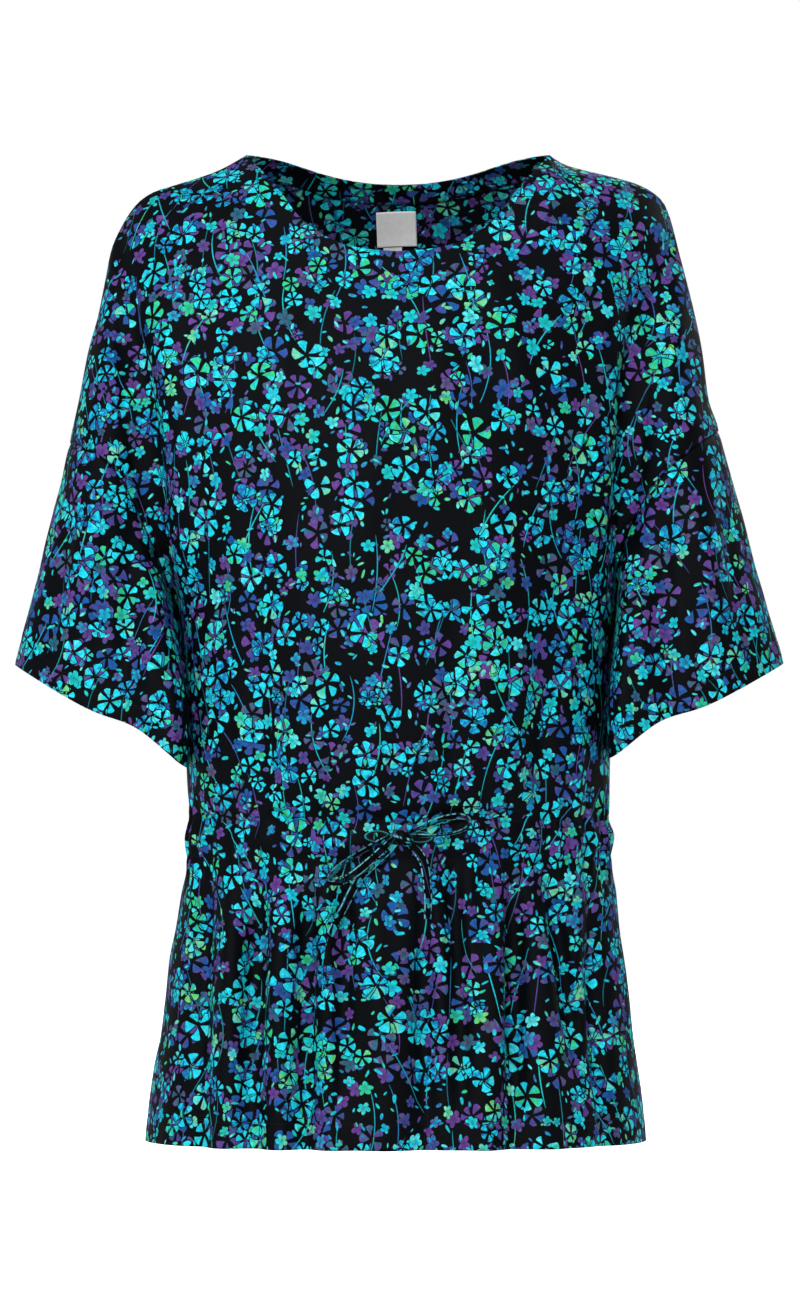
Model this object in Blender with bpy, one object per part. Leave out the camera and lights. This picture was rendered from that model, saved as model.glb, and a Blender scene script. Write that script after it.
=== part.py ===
"""Loose short-sleeved blouse, worn shape with nobody in it, with a drawstring waist.

The front faces -Y, +X is to the right as the front is looked at, and +Z is up. The origin is
halfway between the two points where the shoulder seams meet the neck. Tables and sizes are in
millimetres, and MM turns them into metres where the meshes are made.
"""

import bpy
import numpy as np
from mathutils import Vector
from mathutils.bvhtree import BVHTree

MM = 0.001

# Cloth and seams
WALL = 1.2
SEAM_GAP = 0.3

# Two unit steps along a seam add up to more than this, unless a corner lies between them
STRAIGHT_RUN = 1.2

STRIP_WALL = 1.0
LABEL_WALL = 1.0

# Grid of each body panel: columns run from the left armhole to the right one
COLUMNS = 40
SHOULDER_COLUMNS = 12
ARMHOLE_ROWS = 14
SLEEVE_ROWS = 7
FACING_ROWS = 3

# Shape of the body. Roundness is the power of the section's oval, and 2 would be an ellipse
BODY_ROUNDNESS = 2.3
SHOULDER_ROLL = 80.0
UNDERARM_Z = -329.0
ARM_TOP_Z = -55.0
HEM_Z = -728.0
HEM_RISE = 3.0

# How sharply the panel's grid bends to meet the armhole seams
SEAM_BLEND_POWER = 4

# Share of a fold's length over which it rises at its top and fades at its end, and the depth of
# panel at which folds reach full height
FOLD_RISE_SHARE = 0.3
FOLD_FADE_SHARE = 0.15
FOLD_FULL_DEPTH = 60.0

# Waist channel and its gathers. The share is what is left of a gather in the middle
CHANNEL_TOP_Z = -490.0
CHANNEL_LOW_Z = -518.0
GATHER_DEPTH = 2.4
GATHER_REACH = 26.0
GATHER_MIDDLE_SHARE = 0.25
GATHER_UNEVENNESS = 0.25

# Drawstring
TIE_WIDTH = 7.0
TIE_WALL = 1.4
KNOT_X = 1.0
KNOT_Z = -500.0
KNOT_HALF = (7.0, 4.5, 6.0)
KNOT_STANDOFF = 5.0
KNOT_COLUMNS = 14
KNOT_ROWS = 8
LOOP_THROAT = 2.6
LOOP_STEPS = 18
TAIL_STEPS = 12

# Outer line of the shoulder and sleeve, half widths at each height
SHOULDER_LINE = (
    ("z", "left", "right"),
    (0, 112, 112),
    (-7, 124, 123),
    (-12, 134, 141),
    (-17, 148, 162),
    (-22, 164, 178),
    (-28, 182, 189),
    (-36, 193, 197),
    (-52, 204, 203),
    (-70, 212, 207.5),
    (-95, 217, 214),
    (-120, 222, 220),
    (-145, 229, 225),
    (-182, 236, 230),
    (-204, 241, 238),
    (-213, 243.5, 240),
    (-329, 271, 269),
    (-377, 283, 285),
)

# Half width of the body alone. Above the underarm this is the valley between body and arm
BODY_SIDE = (
    ("z", "left", "right"),
    (-55, 203, 192),
    (-100, 194, 176),
    (-170, 187, 168),
    (-243, 181, 165),
    (-290, 172, 163.5),
    (-329, 163, 162),
    (-345, 161, 160.4),
    (-365, 159.6, 159.4),
    (-400, 158, 158.4),
    (-462, 156, 156.6),
    (-481, 154.7, 156.5),
    (-490, 153.8, 156),
    (-504, 157.6, 159.6),
    (-518, 155.8, 158),
    (-531, 157, 159),
    (-545, 160, 161.5),
    (-572, 164.3, 163.5),
    (-594, 168.7, 167),
    (-622, 171.7, 171),
    (-651, 175.4, 174),
    (-671, 179.8, 177),
    (-703, 184.3, 181.3),
    (-728, 186.5, 183.5),
)

# Depth of the body in front of and behind the side seams
BODY_DEPTH = (
    ("z", "front", "back"),
    (0, 66, 62),
    (-22, 68, 66),
    (-71, 78, 82),
    (-120, 97, 94),
    (-180, 112, 99),
    (-240, 119, 98),
    (-329, 120, 93),
    (-400, 118, 91),
    (-455, 114, 91),
    (-478, 110, 90),
    (-490, 104, 87),
    (-504, 106, 89),
    (-518, 103, 87),
    (-545, 107, 94),
    (-600, 114, 103),
    (-670, 122, 113),
    (-728, 129, 121),
)

# Depth of the cloth over the upper arm and of the valley between arm and body, and how far the
# body's cloth reaches over the valley before the two part
ARM_DEPTH = (
    ("z", "arm", "valley", "reach"),
    (-55, 0, 0, 0),
    (-75, 13, 11, 7),
    (-100, 27, 23, 12),
    (-140, 41, 33, 15),
    (-180, 50, 38, 15),
    (-243, 55, 36, 11),
    (-290, 58, 25, 5),
    (-313, 59, 13, 1.5),
    (-329, 60, 0, 0),
)

# Neck edge, the same on both sides of the middle
NECK_EDGE = (
    ("x", "front", "back"),
    (0, -77, -18.5),
    (16, -76, -18),
    (37, -72.5, -15.5),
    (54, -64.5, -12),
    (72, -50.5, -7),
    (86, -31, -3.4),
    (95, -20, -1.8),
    (104, -9.5, -0.6),
    (112, 0, 0),
)

# Armhole seam in the front view, from the shoulder line round to the underarm
ARMHOLE = (
    ("step", "left_x", "left_z", "right_x", "right_z"),
    (0, 243.5, -213, 238, -204),
    (1, 229, -217.5, 222, -214),
    (2, 215, -226, 207, -226),
    (3, 200.5, -243, 193, -237),
    (4, 183.5, -277, 174, -266),
    (5, 172, -305, 164, -300),
    (6, 163, -329, 162, -329),
)

# Sleeve hem, as its outer and inner ends in the front view, and its half depth. The inner edge
# leans forward and in towards the body, and the sleeve swells a little half way down
SLEEVE_HEM = (
    ("side", "outer_x", "outer_z", "inner_x", "inner_z", "half_depth"),
    ("left", 283, -377, 153.0, -453, 58),
    ("right", 285, -376, 154.0, -446, 58),
)
SLEEVE_FORWARD = 55.0
SLEEVE_INWARD = 3.0
SLEEVE_SWELL = 0.06

# Large soft folds: where each starts and ends, its half width, and its height off the cloth
FRONT_FOLDS = (
    ("x_top", "z_top", "x_low", "z_low", "width", "height"),
    (-139, -520, -147, -760, 10, -5),
    (-121, -525, -127, -760, 11, 6),
    (-100, -515, -107, -760, 9, -6),
    (-83, -530, -87, -760, 11, 6),
    (-66, -525, -67, -760, 8, -7),
    (-47, -545, -48, -760, 13, 5),
    (-39, -530, -41, -650, 7, -3),
    (-6, -560, -10, -760, 16, 6),
    (18, -540, 20, -760, 9, -5),
    (37, -300, 44, -700, 8, -4),
    (62, -540, 64, -760, 12, 6),
    (85, -515, 84, -760, 9, -6),
    (106, -540, 112, -760, 11, 5),
    (104, -510, 131, -650, 8, -5),
    (146, -520, 150, -760, 10, -5),
    (-62, -250, -66, -490, 15, 4),
    (-104, -190, -98, -490, 13, -4),
    (72, -210, 66, -490, 14, 4),
    (112, -240, 103, -490, 12, -4),
    (-20, -100, -26, -330, 18, 3),
    (150, -120, 120, -360, 14, -4),
    (-160, -120, -132, -360, 14, -4),
)
BACK_FOLDS = (
    ("x_top", "z_top", "x_low", "z_low", "width", "height"),
    (-143, -520, -150, -760, 10, -5),
    (-118, -520, -122, -760, 12, 6),
    (-92, -515, -96, -760, 9, -6),
    (-70, -540, -74, -760, 12, 5),
    (-44, -520, -48, -760, 9, -6),
    (-20, -555, -22, -760, 15, 6),
    (10, -515, 6, -760, 9, -7),
    (34, -545, 38, -760, 13, 6),
    (60, -520, 66, -760, 9, -6),
    (86, -530, 92, -760, 12, 6),
    (114, -515, 120, -760, 9, -6),
    (140, -540, 148, -760, 11, 5),
    (-86, -140, -74, -490, 15, 4),
    (-30, -200, -34, -490, 14, -4),
    (24, -120, 30, -490, 15, 4),
    (80, -220, 70, -490, 13, -4),
    (148, -110, 122, -360, 14, -4),
    (-150, -110, -124, -360, 14, -4),
)
SLEEVE_FOLDS = (
    ("around", "width", "height"),
    (0.16, 0.045, 3.0),
    (0.29, 0.040, -3.5),
    (0.41, 0.045, 2.5),
    (0.60, 0.045, 3.0),
    (0.72, 0.040, -3.5),
    (0.86, 0.045, 3.0),
)

# Heights of the rows below the underarm, closest together round the waist channel
LOW_ROWS = (
    UNDERARM_Z, -362, -396, -430, -458, -476, CHANNEL_TOP_Z, -504, CHANNEL_LOW_Z,
    -531, -548, -580, -620, -660, -698, HEM_Z,
)

# Neck label and the small tab under it, on the inside of the back
LABELS = (
    ("name", "x", "z_top", "width", "height", "turn"),
    ("neck_label", -1.5, -43.0, 30.0, 25.0, 2.0),
    ("size_tab", -4.0, -68.8, 14.0, 10.0, 2.0),
)

# Drawstring tails in the front view, each row a place and its standoff from the cloth
LEFT_TAIL = (
    ("x", "z", "standoff"),
    (-3.0, -505.7, 3.4),
    (-8.5, -511.5, 1.6),
    (-18, -520.5, 1.1),
    (-29, -533, 1.1),
    (-39, -552, 1.1),
    (-49, -571, 1.1),
)
RIGHT_TAIL = (
    ("x", "z", "standoff"),
    (9.2, -506.6, 4.4),
    (14.5, -512, 3.0),
    (19, -521, 1.4),
    (20.7, -533, 1.1),
    (21.6, -546, 1.1),
    (21.4, -560, 1.1),
)
LOOPS = (
    ("name", "x", "z", "end_x", "end_z", "standoff", "bulge", "lean_deg"),
    ("tie_loop_left", -7.4, -502.0, -49, -533, 8.6, 3.4, 40),
    ("tie_loop_right", 8.6, -498.4, 53, -489, 7.0, 3.2, 38),
)

CLOTH = (0.012, 0.02, 0.03)
CLOTH_TRIM = (0.02, 0.08, 0.10)
LABEL_WHITE = (0.82, 0.82, 0.79)


def column(table, name):
    """One named column of a table as an array."""
    place = table[0].index(name)
    return np.array([row[place] for row in table[1:]], dtype=float)


def smooth(at, stations, values):
    """Read a smooth curve that passes through the values and never overshoots them."""
    order = np.argsort(stations)
    stations = np.asarray(stations, dtype=float)[order]
    values = np.asarray(values, dtype=float)[order]
    step = np.diff(stations)
    slope = np.diff(values) / step
    tangent = np.zeros_like(values)
    tangent[0] = slope[0]
    tangent[-1] = slope[-1]
    same = slope[1:] * slope[:-1] > 0
    inner = tangent[1:-1]
    inner[same] = 2 * (slope[1:] * slope[:-1])[same] / (slope[1:] + slope[:-1])[same]
    at = np.clip(np.asarray(at, dtype=float), stations[0], stations[-1])
    k = np.clip(np.searchsorted(stations, at, side="right") - 1, 0, len(step) - 1)
    t = (at - stations[k]) / step[k]
    rise = values[k] * (1 + 2 * t) * (1 - t) ** 2 + values[k + 1] * t * t * (3 - 2 * t)
    return rise + step[k] * (tangent[k] * t * (1 - t) ** 2 - tangent[k + 1] * t * t * (1 - t))


def read(table, name, at, key="z"):
    """A named column of a table, read smoothly at any height."""
    return smooth(at, column(table, key), column(table, name))


def by_side(table, x, z):
    """A left or right half width, whichever side the place is on."""
    return np.where(np.asarray(x) < 0, read(table, "left", z), read(table, "right", z))


def soft_step(t):
    """Rise smoothly from 0 to 1 as t does."""
    t = np.clip(t, 0, 1)
    return t * t * (3 - 2 * t)


def body_half_width(x, z):
    """Half width of the body, which above the arm's top is the shoulder's own outline."""
    return np.where(z > ARM_TOP_Z, by_side(SHOULDER_LINE, x, z), by_side(BODY_SIDE, x, z))


def shoulder_height(x):
    """Height of the shoulder line over a place in the front view."""
    reach = np.abs(x)
    z = column(SHOULDER_LINE, "z")
    left = smooth(reach, column(SHOULDER_LINE, "left"), z)
    right = smooth(reach, column(SHOULDER_LINE, "right"), z)
    return np.where(np.asarray(x) < 0, left, right)


def panel_depth(x, z, face):
    """Distance of the cloth from the plane of the side seams, at a place in the front view."""
    reach = np.abs(x)
    width = body_half_width(x, z)
    outline = by_side(SHOULDER_LINE, x, z)
    roll = np.clip((shoulder_height(x) - z) / SHOULDER_ROLL, 0, 1)
    roll = np.sqrt(1 - (1 - roll) ** 2)
    overlap = np.where(z < ARM_TOP_Z, read(ARM_DEPTH, "reach", z), 0)
    across = np.clip(reach / (width + overlap), 0, 1) ** BODY_ROUNDNESS
    body = read(BODY_DEPTH, face, z) * (1 - across) ** (1 / BODY_ROUNDNESS) * roll
    half = np.maximum((outline - width) / 2, 0.5)
    over_arm = np.clip(1 - ((reach - width - half) / half) ** 2, 0, 1)
    past_valley = np.clip((reach - width) / (2 * half), 0, 1)
    below_top = z < ARM_TOP_Z
    arm = np.where(below_top, read(ARM_DEPTH, "arm", z) * np.sqrt(over_arm), 0)
    valley = np.where(below_top, read(ARM_DEPTH, "valley", z), 0)
    valley = valley * np.sqrt(1 - past_valley**2) * roll
    return (body**3 + arm**3 + valley**3) ** (1 / 3)


def fold_height(x, z, table):
    """Sum of the soft ridges and troughs of a panel, at a place in the front view."""
    x = np.asarray(x, dtype=float)
    height = np.zeros_like(x)
    for x_top, z_top, x_low, z_low, width, rise in table[1:]:
        along = (z_top - z) / (z_top - z_low)
        line = x_top + (x_low - x_top) * along
        fade = soft_step(along / FOLD_RISE_SHARE) * soft_step((1 - along) / FOLD_FADE_SHARE)
        height = height + rise * fade * np.exp(-(((x - line) / width) ** 2))
    return height


def gather_height(place, z):
    """Puckers along the waist channel, strongest towards the side seams. place counts columns."""
    off_middle = np.abs(2 * place / COLUMNS - 1)
    strength = GATHER_MIDDLE_SHARE + (1 - GATHER_MIDDLE_SHARE) * off_middle
    uneven = 1 - GATHER_UNEVENNESS + GATHER_UNEVENNESS * np.sin(2 * place)
    channel_mid = (CHANNEL_TOP_Z + CHANNEL_LOW_Z) / 2
    near = np.exp(-(((z - channel_mid) / GATHER_REACH) ** 2))
    return GATHER_DEPTH * strength * uneven * near * np.cos(np.pi * place)


def column_angle(place):
    """Angle round the body of a column, from -90 degrees at the left seam to 90 at the right."""
    return np.pi * (np.asarray(place, dtype=float) / COLUMNS - 0.5)


def body_section(place, z, face):
    """A point of the body's wall below the underarm, at a column and a height."""
    place = np.asarray(place, dtype=float)
    angle = column_angle(place)
    power = 2 / BODY_ROUNDNESS
    sine = np.sin(angle)
    cosine = np.clip(np.cos(angle), 0, 1)
    width = body_half_width(sine, z)
    depth = read(BODY_DEPTH, face, z)
    front = -1 if face == "front" else 1
    x = width * np.sign(sine) * np.abs(sine) ** power
    y = front * depth * cosine**power
    normal_x = np.sign(sine) * np.abs(sine) ** (2 - power) / width
    normal_y = front * cosine ** (2 - power) / depth
    length = np.hypot(normal_x, normal_y)
    folds = FRONT_FOLDS if face == "front" else BACK_FOLDS
    lift = fold_height(x, z, folds) * np.clip(cosine * 3, 0, 1) + gather_height(place, z)
    lift = lift * np.where((place <= 0) | (place >= COLUMNS), 0, 1)
    x = x + lift * normal_x / length
    y = y + lift * normal_y / length
    return np.stack(np.broadcast_arrays(x, y, z), axis=-1)


def hem_height(place):
    """The hem rides a little higher in the middle than at the side seams."""
    return HEM_Z + HEM_RISE * np.cos(column_angle(place))


def walk(points, count):
    """Points spaced evenly along a curve."""
    points = np.asarray(points, dtype=float)
    run = np.concatenate([[0], np.cumsum(np.linalg.norm(np.diff(points, axis=0), axis=1))])
    at = np.linspace(0, run[-1], count + 1)
    return np.stack([np.interp(at, run, points[:, k]) for k in range(points.shape[1])], axis=1)


def with_depth(flat, face):
    """Front-view places with the panel's depth added as a third value."""
    return np.column_stack([flat, panel_depth(flat[:, 0], flat[:, 1], face)])


def armhole_places(side, face):
    """Front-view places of the armhole seam, evenly spaced along the real seam."""
    steps = column(ARMHOLE, "step")
    fine = np.linspace(0, steps[-1], 200)
    x = smooth(fine, steps, column(ARMHOLE, side + "_x")) * (-1 if side == "left" else 1)
    z = smooth(fine, steps, column(ARMHOLE, side + "_z"))
    return walk(with_depth(np.column_stack([x, z]), face), ARMHOLE_ROWS)[:, :2]


def shoulder_places(side):
    """Front-view places of the shoulder seam, from the armhole to the neck."""
    end = column(ARMHOLE, side + "_z")[0]
    fine = end * (1 - np.linspace(0, 1, 400)) ** 2
    x = read(SHOULDER_LINE, side, fine) * (-1 if side == "left" else 1)
    return walk(np.column_stack([x, fine]), SHOULDER_COLUMNS)


def neck_places(face):
    """Front-view places of the neck edge, from its left end to its right end."""
    end = column(NECK_EDGE, "x")[-1]
    x = end * np.sin(np.linspace(-np.pi / 2, np.pi / 2, 400))
    z = read(NECK_EDGE, face, np.abs(x), key="x")
    return walk(with_depth(np.column_stack([x, z]), face), COLUMNS - 2 * SHOULDER_COLUMNS)[:, :2]


def upper_places(face):
    """Front-view grid of a panel from its shoulder and neck edge to the underarm."""
    left_shoulder = shoulder_places("left")
    right_shoulder = shoulder_places("right")[::-1]
    top = np.vstack([left_shoulder[:-1], neck_places(face), right_shoulder[1:]])
    low = body_section(np.arange(COLUMNS + 1), UNDERARM_Z, face)[:, [0, 2]]
    left = armhole_places("left", face)
    right = armhole_places("right", face)
    across = np.linspace(0, 1, COLUMNS + 1)[:, None]
    near_left = (1 - across) ** SEAM_BLEND_POWER
    near_right = across**SEAM_BLEND_POWER
    grid = np.zeros((COLUMNS + 1, ARMHOLE_ROWS + 1, 2))
    for row in range(ARMHOLE_ROWS + 1):
        drop = 1 - np.cos(row / ARMHOLE_ROWS * np.pi / 2)
        line = (1 - drop) * top + drop * low
        grid[:, row] = line + near_left * (left[row] - line[0]) + near_right * (right[row] - line[-1])
    return grid


def shoulder_columns():
    """Columns of a panel whose top ends on a shoulder seam."""
    left = range(SHOULDER_COLUMNS + 1)
    right = range(COLUMNS - SHOULDER_COLUMNS, COLUMNS + 1)
    return list(left) + list(right)


def upper_panel(face):
    """Upper part of a body panel as a grid of points."""
    places = upper_places(face)
    x = places[..., 0]
    z = places[..., 1]
    depth = panel_depth(x, z, face)
    folds = FRONT_FOLDS if face == "front" else BACK_FOLDS
    depth = depth + fold_height(x, z, folds) * np.clip(depth / FOLD_FULL_DEPTH, 0, 1)
    depth[shoulder_columns(), 0] = 0
    points = np.stack([x, depth * (-1 if face == "front" else 1), z], axis=-1)
    points[:, -1] = body_section(np.arange(COLUMNS + 1), UNDERARM_Z, face)
    return points


def lower_panel(face):
    """Body panel from the underarm to the hem as a grid of points."""
    place = np.arange(COLUMNS + 1)
    rows = [body_section(place, z, face) for z in LOW_ROWS[:-1]]
    hem = body_section(place, HEM_Z, face)
    hem[:, 2] = hem_height(place)
    return np.stack(rows + [hem], axis=1)


def sleeve_ring(armhole, side, down):
    """One ring of a sleeve, between the armhole seam at 0 and the sleeve hem at 1."""
    row = next(r for r in SLEEVE_HEM[1:] if r[0] == side)
    outer = np.array(row[1:3])
    inner = np.array(row[3:5])
    sign = -1 if side == "left" else 1
    count = 2 * ARMHOLE_ROWS
    around = np.arange(count) / count
    angle = around * 2 * np.pi
    flat = outer + (inner - outer) * ((1 - np.cos(angle)) / 2)[:, None]
    power = 2 / BODY_ROUNDNESS
    depth = -row[5] * np.sign(np.sin(angle)) * np.abs(np.sin(angle)) ** power
    hem = np.column_stack([sign * flat[:, 0], depth, flat[:, 1]])
    ring = (1 - down) * armhole + down * hem
    ring[:, 1] *= 1 + SLEEVE_SWELL * np.sin(np.pi * down)
    toward_body = (1 - np.cos(angle)) / 2
    ring[:, 1] -= SLEEVE_FORWARD * (1 - (1 - down) ** 3) * toward_body**3
    ring[:, 0] -= sign * SLEEVE_INWARD * np.sin(np.pi * down**2) * toward_body**6
    outward = np.where(depth < 0, -1, 1) * np.clip(2 * np.abs(np.sin(angle)), 0, 1)
    for centre, width, height in SLEEVE_FOLDS[1:]:
        lift = height * soft_step(1.6 * down) * np.exp(-(((around - centre) / width) ** 2))
        ring[:, 1] += lift * outward
    return ring


class Garment:
    """All outer points of the cloth, shared along the seams, and the quads of each cut piece."""

    def __init__(self):
        self.points = []
        self.pieces = {}

    def add_point(self, point):
        self.points.append(tuple(point))
        return len(self.points) - 1

    def add_grid(self, points, shared):
        """Number a grid of points, taking the numbers of those that a seam shares."""
        numbers = np.zeros(points.shape[:2], dtype=int)
        for i in range(points.shape[0]):
            for j in range(points.shape[1]):
                known = shared.get((i, j))
                numbers[i, j] = self.add_point(points[i, j]) if known is None else known
        return numbers

    def add_quads(self, piece, numbers, flip):
        quads = self.pieces.setdefault(piece, [])
        for i in range(numbers.shape[0] - 1):
            for j in range(numbers.shape[1] - 1):
                a, b = numbers[i, j], numbers[i, j + 1]
                c, d = numbers[i + 1, j + 1], numbers[i + 1, j]
                quads.append((a, d, c, b) if flip else (a, b, c, d))

    def finish(self):
        """Turn the points into an array and work out each point's outward normal."""
        self.points = np.array(self.points)
        self.normals = np.zeros_like(self.points)
        for quads in self.pieces.values():
            for quad in quads:
                a, b, c, d = self.points[list(quad)]
                self.normals[list(quad)] += np.cross(c - a, d - b)
        self.normals /= np.linalg.norm(self.normals, axis=1)[:, None]


def build_garment():
    """Lay out the four cut pieces of the blouse on shared seam points."""
    garment = Garment()
    front_top = garment.add_grid(upper_panel("front"), {})
    seams = {(i, 0): front_top[i, ARMHOLE_ROWS] for i in range(COLUMNS + 1)}
    front_low = garment.add_grid(lower_panel("front"), seams)
    seams = {(i, 0): front_top[i, 0] for i in shoulder_columns()}
    seams[(0, ARMHOLE_ROWS)] = front_top[0, ARMHOLE_ROWS]
    seams[(COLUMNS, ARMHOLE_ROWS)] = front_top[COLUMNS, ARMHOLE_ROWS]
    back_top = garment.add_grid(upper_panel("back"), seams)
    seams = {(i, 0): back_top[i, ARMHOLE_ROWS] for i in range(COLUMNS + 1)}
    for j in range(len(LOW_ROWS)):
        seams[(0, j)] = front_low[0, j]
        seams[(COLUMNS, j)] = front_low[COLUMNS, j]
    back_low = garment.add_grid(lower_panel("back"), seams)
    garment.add_quads("front_body", front_top, False)
    garment.add_quads("front_body", front_low, False)
    garment.add_quads("back_body", back_top, True)
    garment.add_quads("back_body", back_low, True)
    for side, edge in (("left", 0), ("right", COLUMNS)):
        ring = list(front_top[edge, :]) + list(back_top[edge, 1:-1][::-1])
        armhole = np.array([garment.points[n] for n in ring])
        rings = [sleeve_ring(armhole, side, t / SLEEVE_ROWS) for t in range(SLEEVE_ROWS + 1)]
        seams = {(k, 0): ring[k] for k in range(len(ring))}
        numbers = garment.add_grid(np.stack(rings, axis=1), seams)
        numbers = np.vstack([numbers, numbers[:1]])
        garment.add_quads("sleeve_" + side, numbers, side == "right")
    garment.rows = {"front": front_low, "back": back_low, "back_top": back_top}
    garment.finish()
    return garment


def seam_shift(garment, quads):
    """How far each point of a piece draws back from its seams, so that pieces stay apart."""
    edges = {}
    beside = {}
    for quad in quads:
        centre = garment.points[list(quad)].mean(axis=0)
        for a, b in zip(quad, quad[1:] + quad[:1]):
            beside.setdefault(a, []).append(centre)
            edges[(a, b)] = True
    tangents = {}
    for a, b in edges:
        if (b, a) not in edges:
            tangents.setdefault(a, []).append(garment.points[b] - garment.points[a])
            tangents.setdefault(b, []).append(garment.points[b] - garment.points[a])
    shift = {}
    for point, runs in tangents.items():
        inward = np.mean(beside[point], axis=0) - garment.points[point]
        along = np.sum([r / np.linalg.norm(r) for r in runs], axis=0)
        normal = garment.normals[point]
        inward = inward - normal * np.dot(inward, normal)
        if np.linalg.norm(along) > STRAIGHT_RUN:
            along = along / np.linalg.norm(along)
            inward = inward - along * np.dot(inward, along)
        shift[point] = inward / np.linalg.norm(inward) * SEAM_GAP / 2
    return shift


def material(name, colour, roughness):
    """A plain material of one colour."""
    made = bpy.data.materials.new(name)
    made.use_nodes = True
    shader = made.node_tree.nodes["Principled BSDF"]
    shader.inputs["Base Color"].default_value = (*colour, 1)
    shader.inputs["Roughness"].default_value = roughness
    shader.inputs["Metallic"].default_value = 0
    return made


def add_object(name, points, faces, colour, roughness=0.85):
    """A closed mesh object from points in millimetres."""
    mesh = bpy.data.meshes.new(name)
    mesh.from_pydata([tuple(np.asarray(p) * MM) for p in points], [], faces)
    mesh.shade_smooth()
    mesh.materials.append(material(name, colour, roughness))
    made = bpy.data.objects.new(name, mesh)
    bpy.context.scene.collection.objects.link(made)
    return made


def cloth_solid(name, garment, quads, top, thickness, colour):
    """A wall of cloth over some quads: its outer side lies `top` under the garment's surface."""
    shift = seam_shift(garment, quads)
    numbers = sorted({n for quad in quads for n in quad})
    local = {n: k for k, n in enumerate(numbers)}
    moved = np.array([garment.points[n] + shift.get(n, 0) for n in numbers])
    normals = garment.normals[numbers]
    points = np.vstack([moved - normals * top, moved - normals * (top + thickness)])
    count = len(numbers)
    faces = []
    edges = {(a, b) for quad in quads for a, b in zip(quad, quad[1:] + quad[:1])}
    for quad in quads:
        corners = sorted(range(4), key=lambda k: quad[k])
        turn = corners[0]
        a, b, c, d = (local[quad[(turn + k) % 4]] for k in range(4))
        for tri in ((a, b, c), (a, c, d)):
            faces.append(list(tri))
            faces.append([n + count for n in reversed(tri)])
    for a, b in sorted(edges):
        if (b, a) not in edges:
            faces.append([local[b], local[a], local[a] + count, local[b] + count])
    return add_object(name, points, faces, colour)


def strip_quads(numbers, columns, rows, flip):
    """Quads over part of a numbered grid."""
    quads = []
    for i in columns:
        for j in rows:
            quad = (numbers[i, j], numbers[i, j + 1], numbers[i + 1, j + 1], numbers[i + 1, j])
            quads.append(tuple(reversed(quad)) if flip else quad)
    return quads


def add_inner_strips(garment):
    """The waist channel's two strips and the back neck facing, all on the cloth's inside."""
    under = WALL + SEAM_GAP
    first = LOW_ROWS.index(CHANNEL_TOP_Z)
    last = LOW_ROWS.index(CHANNEL_LOW_Z)
    for face in ("front", "back"):
        quads = strip_quads(garment.rows[face], range(COLUMNS), range(first, last), face == "back")
        cloth_solid("waist_channel_" + face, garment, quads, under, STRIP_WALL, CLOTH_TRIM)
    neck = range(SHOULDER_COLUMNS, COLUMNS - SHOULDER_COLUMNS)
    quads = strip_quads(garment.rows["back_top"], neck, range(FACING_ROWS), True)
    cloth_solid("back_neck_facing", garment, quads, under, STRIP_WALL, CLOTH_TRIM)


def cloth_tree(name):
    """Search tree over a finished wall of cloth, for finding where its surface lies."""
    mesh = bpy.data.objects[name].data
    points = [v.co / MM for v in mesh.vertices]
    return BVHTree.FromPolygons(points, [list(f.vertices) for f in mesh.polygons])


def back_inside(tree, x, z, inward):
    """A point over the inner side of the back, `inward` from it."""
    place, normal, _, _ = tree.ray_cast(Vector((x, 0, z)), Vector((0, 1, 0)))
    return np.array(place) + np.array(normal) * inward


def add_labels():
    """Bare woven label and its tab, each a thin slab that follows the back."""
    cells_x = 4
    cells_z = 3
    tree = cloth_tree("back_body")
    for name, middle_x, top_z, width, height, turn in LABELS[1:]:
        layers = []
        for inward in (SEAM_GAP, SEAM_GAP + LABEL_WALL):
            layer = []
            for j in range(cells_z + 1):
                for i in range(cells_x + 1):
                    across = (i / cells_x - 0.5) * width
                    down = -j / cells_z * height
                    lean = np.radians(turn)
                    x = middle_x + across * np.cos(lean) - down * np.sin(lean)
                    z = top_z + across * np.sin(lean) + down * np.cos(lean)
                    layer.append(back_inside(tree, x, z, inward))
            layers.append(layer)
        grid = np.arange((cells_x + 1) * (cells_z + 1)).reshape(cells_z + 1, cells_x + 1)
        count = grid.size
        faces = []
        for j in range(cells_z):
            for i in range(cells_x):
                quad = [grid[j, i], grid[j, i + 1], grid[j + 1, i + 1], grid[j + 1, i]]
                faces.append([int(n) for n in quad])
                faces.append([int(n) + count for n in reversed(quad)])
        rim = list(grid[0, :]) + list(grid[1:, -1])
        rim += list(grid[-1, :-1][::-1]) + list(grid[1:-1, 0][::-1])
        for a, b in zip(rim, rim[1:] + rim[:1]):
            faces.append([int(b), int(a), int(a) + count, int(b) + count])
        add_object(name, layers[0] + layers[1], faces, LABEL_WHITE, 0.7)


def front_cloth_y(tree, x, z):
    """The most forward the front's cloth comes within half a tie's width of a place."""
    reach = TIE_WIDTH / 2
    nearest = 0
    for dx in (-reach, 0, reach):
        for dz in (-reach, 0, reach):
            start = Vector((x + dx, -2 * read(BODY_DEPTH, "front", z), z + dz))
            nearest = min(nearest, tree.ray_cast(start, Vector((0, 1, 0)))[0].y)
    return nearest


def spline(points, count):
    """A smooth curve through a few points, read at even steps."""
    points = np.asarray(points, dtype=float)
    knots = np.arange(len(points))
    at = np.linspace(0, len(points) - 1, 20 * len(points))
    fine = np.stack([smooth(at, knots, points[:, k]) for k in range(3)], axis=1)
    return walk(fine, count)


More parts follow.
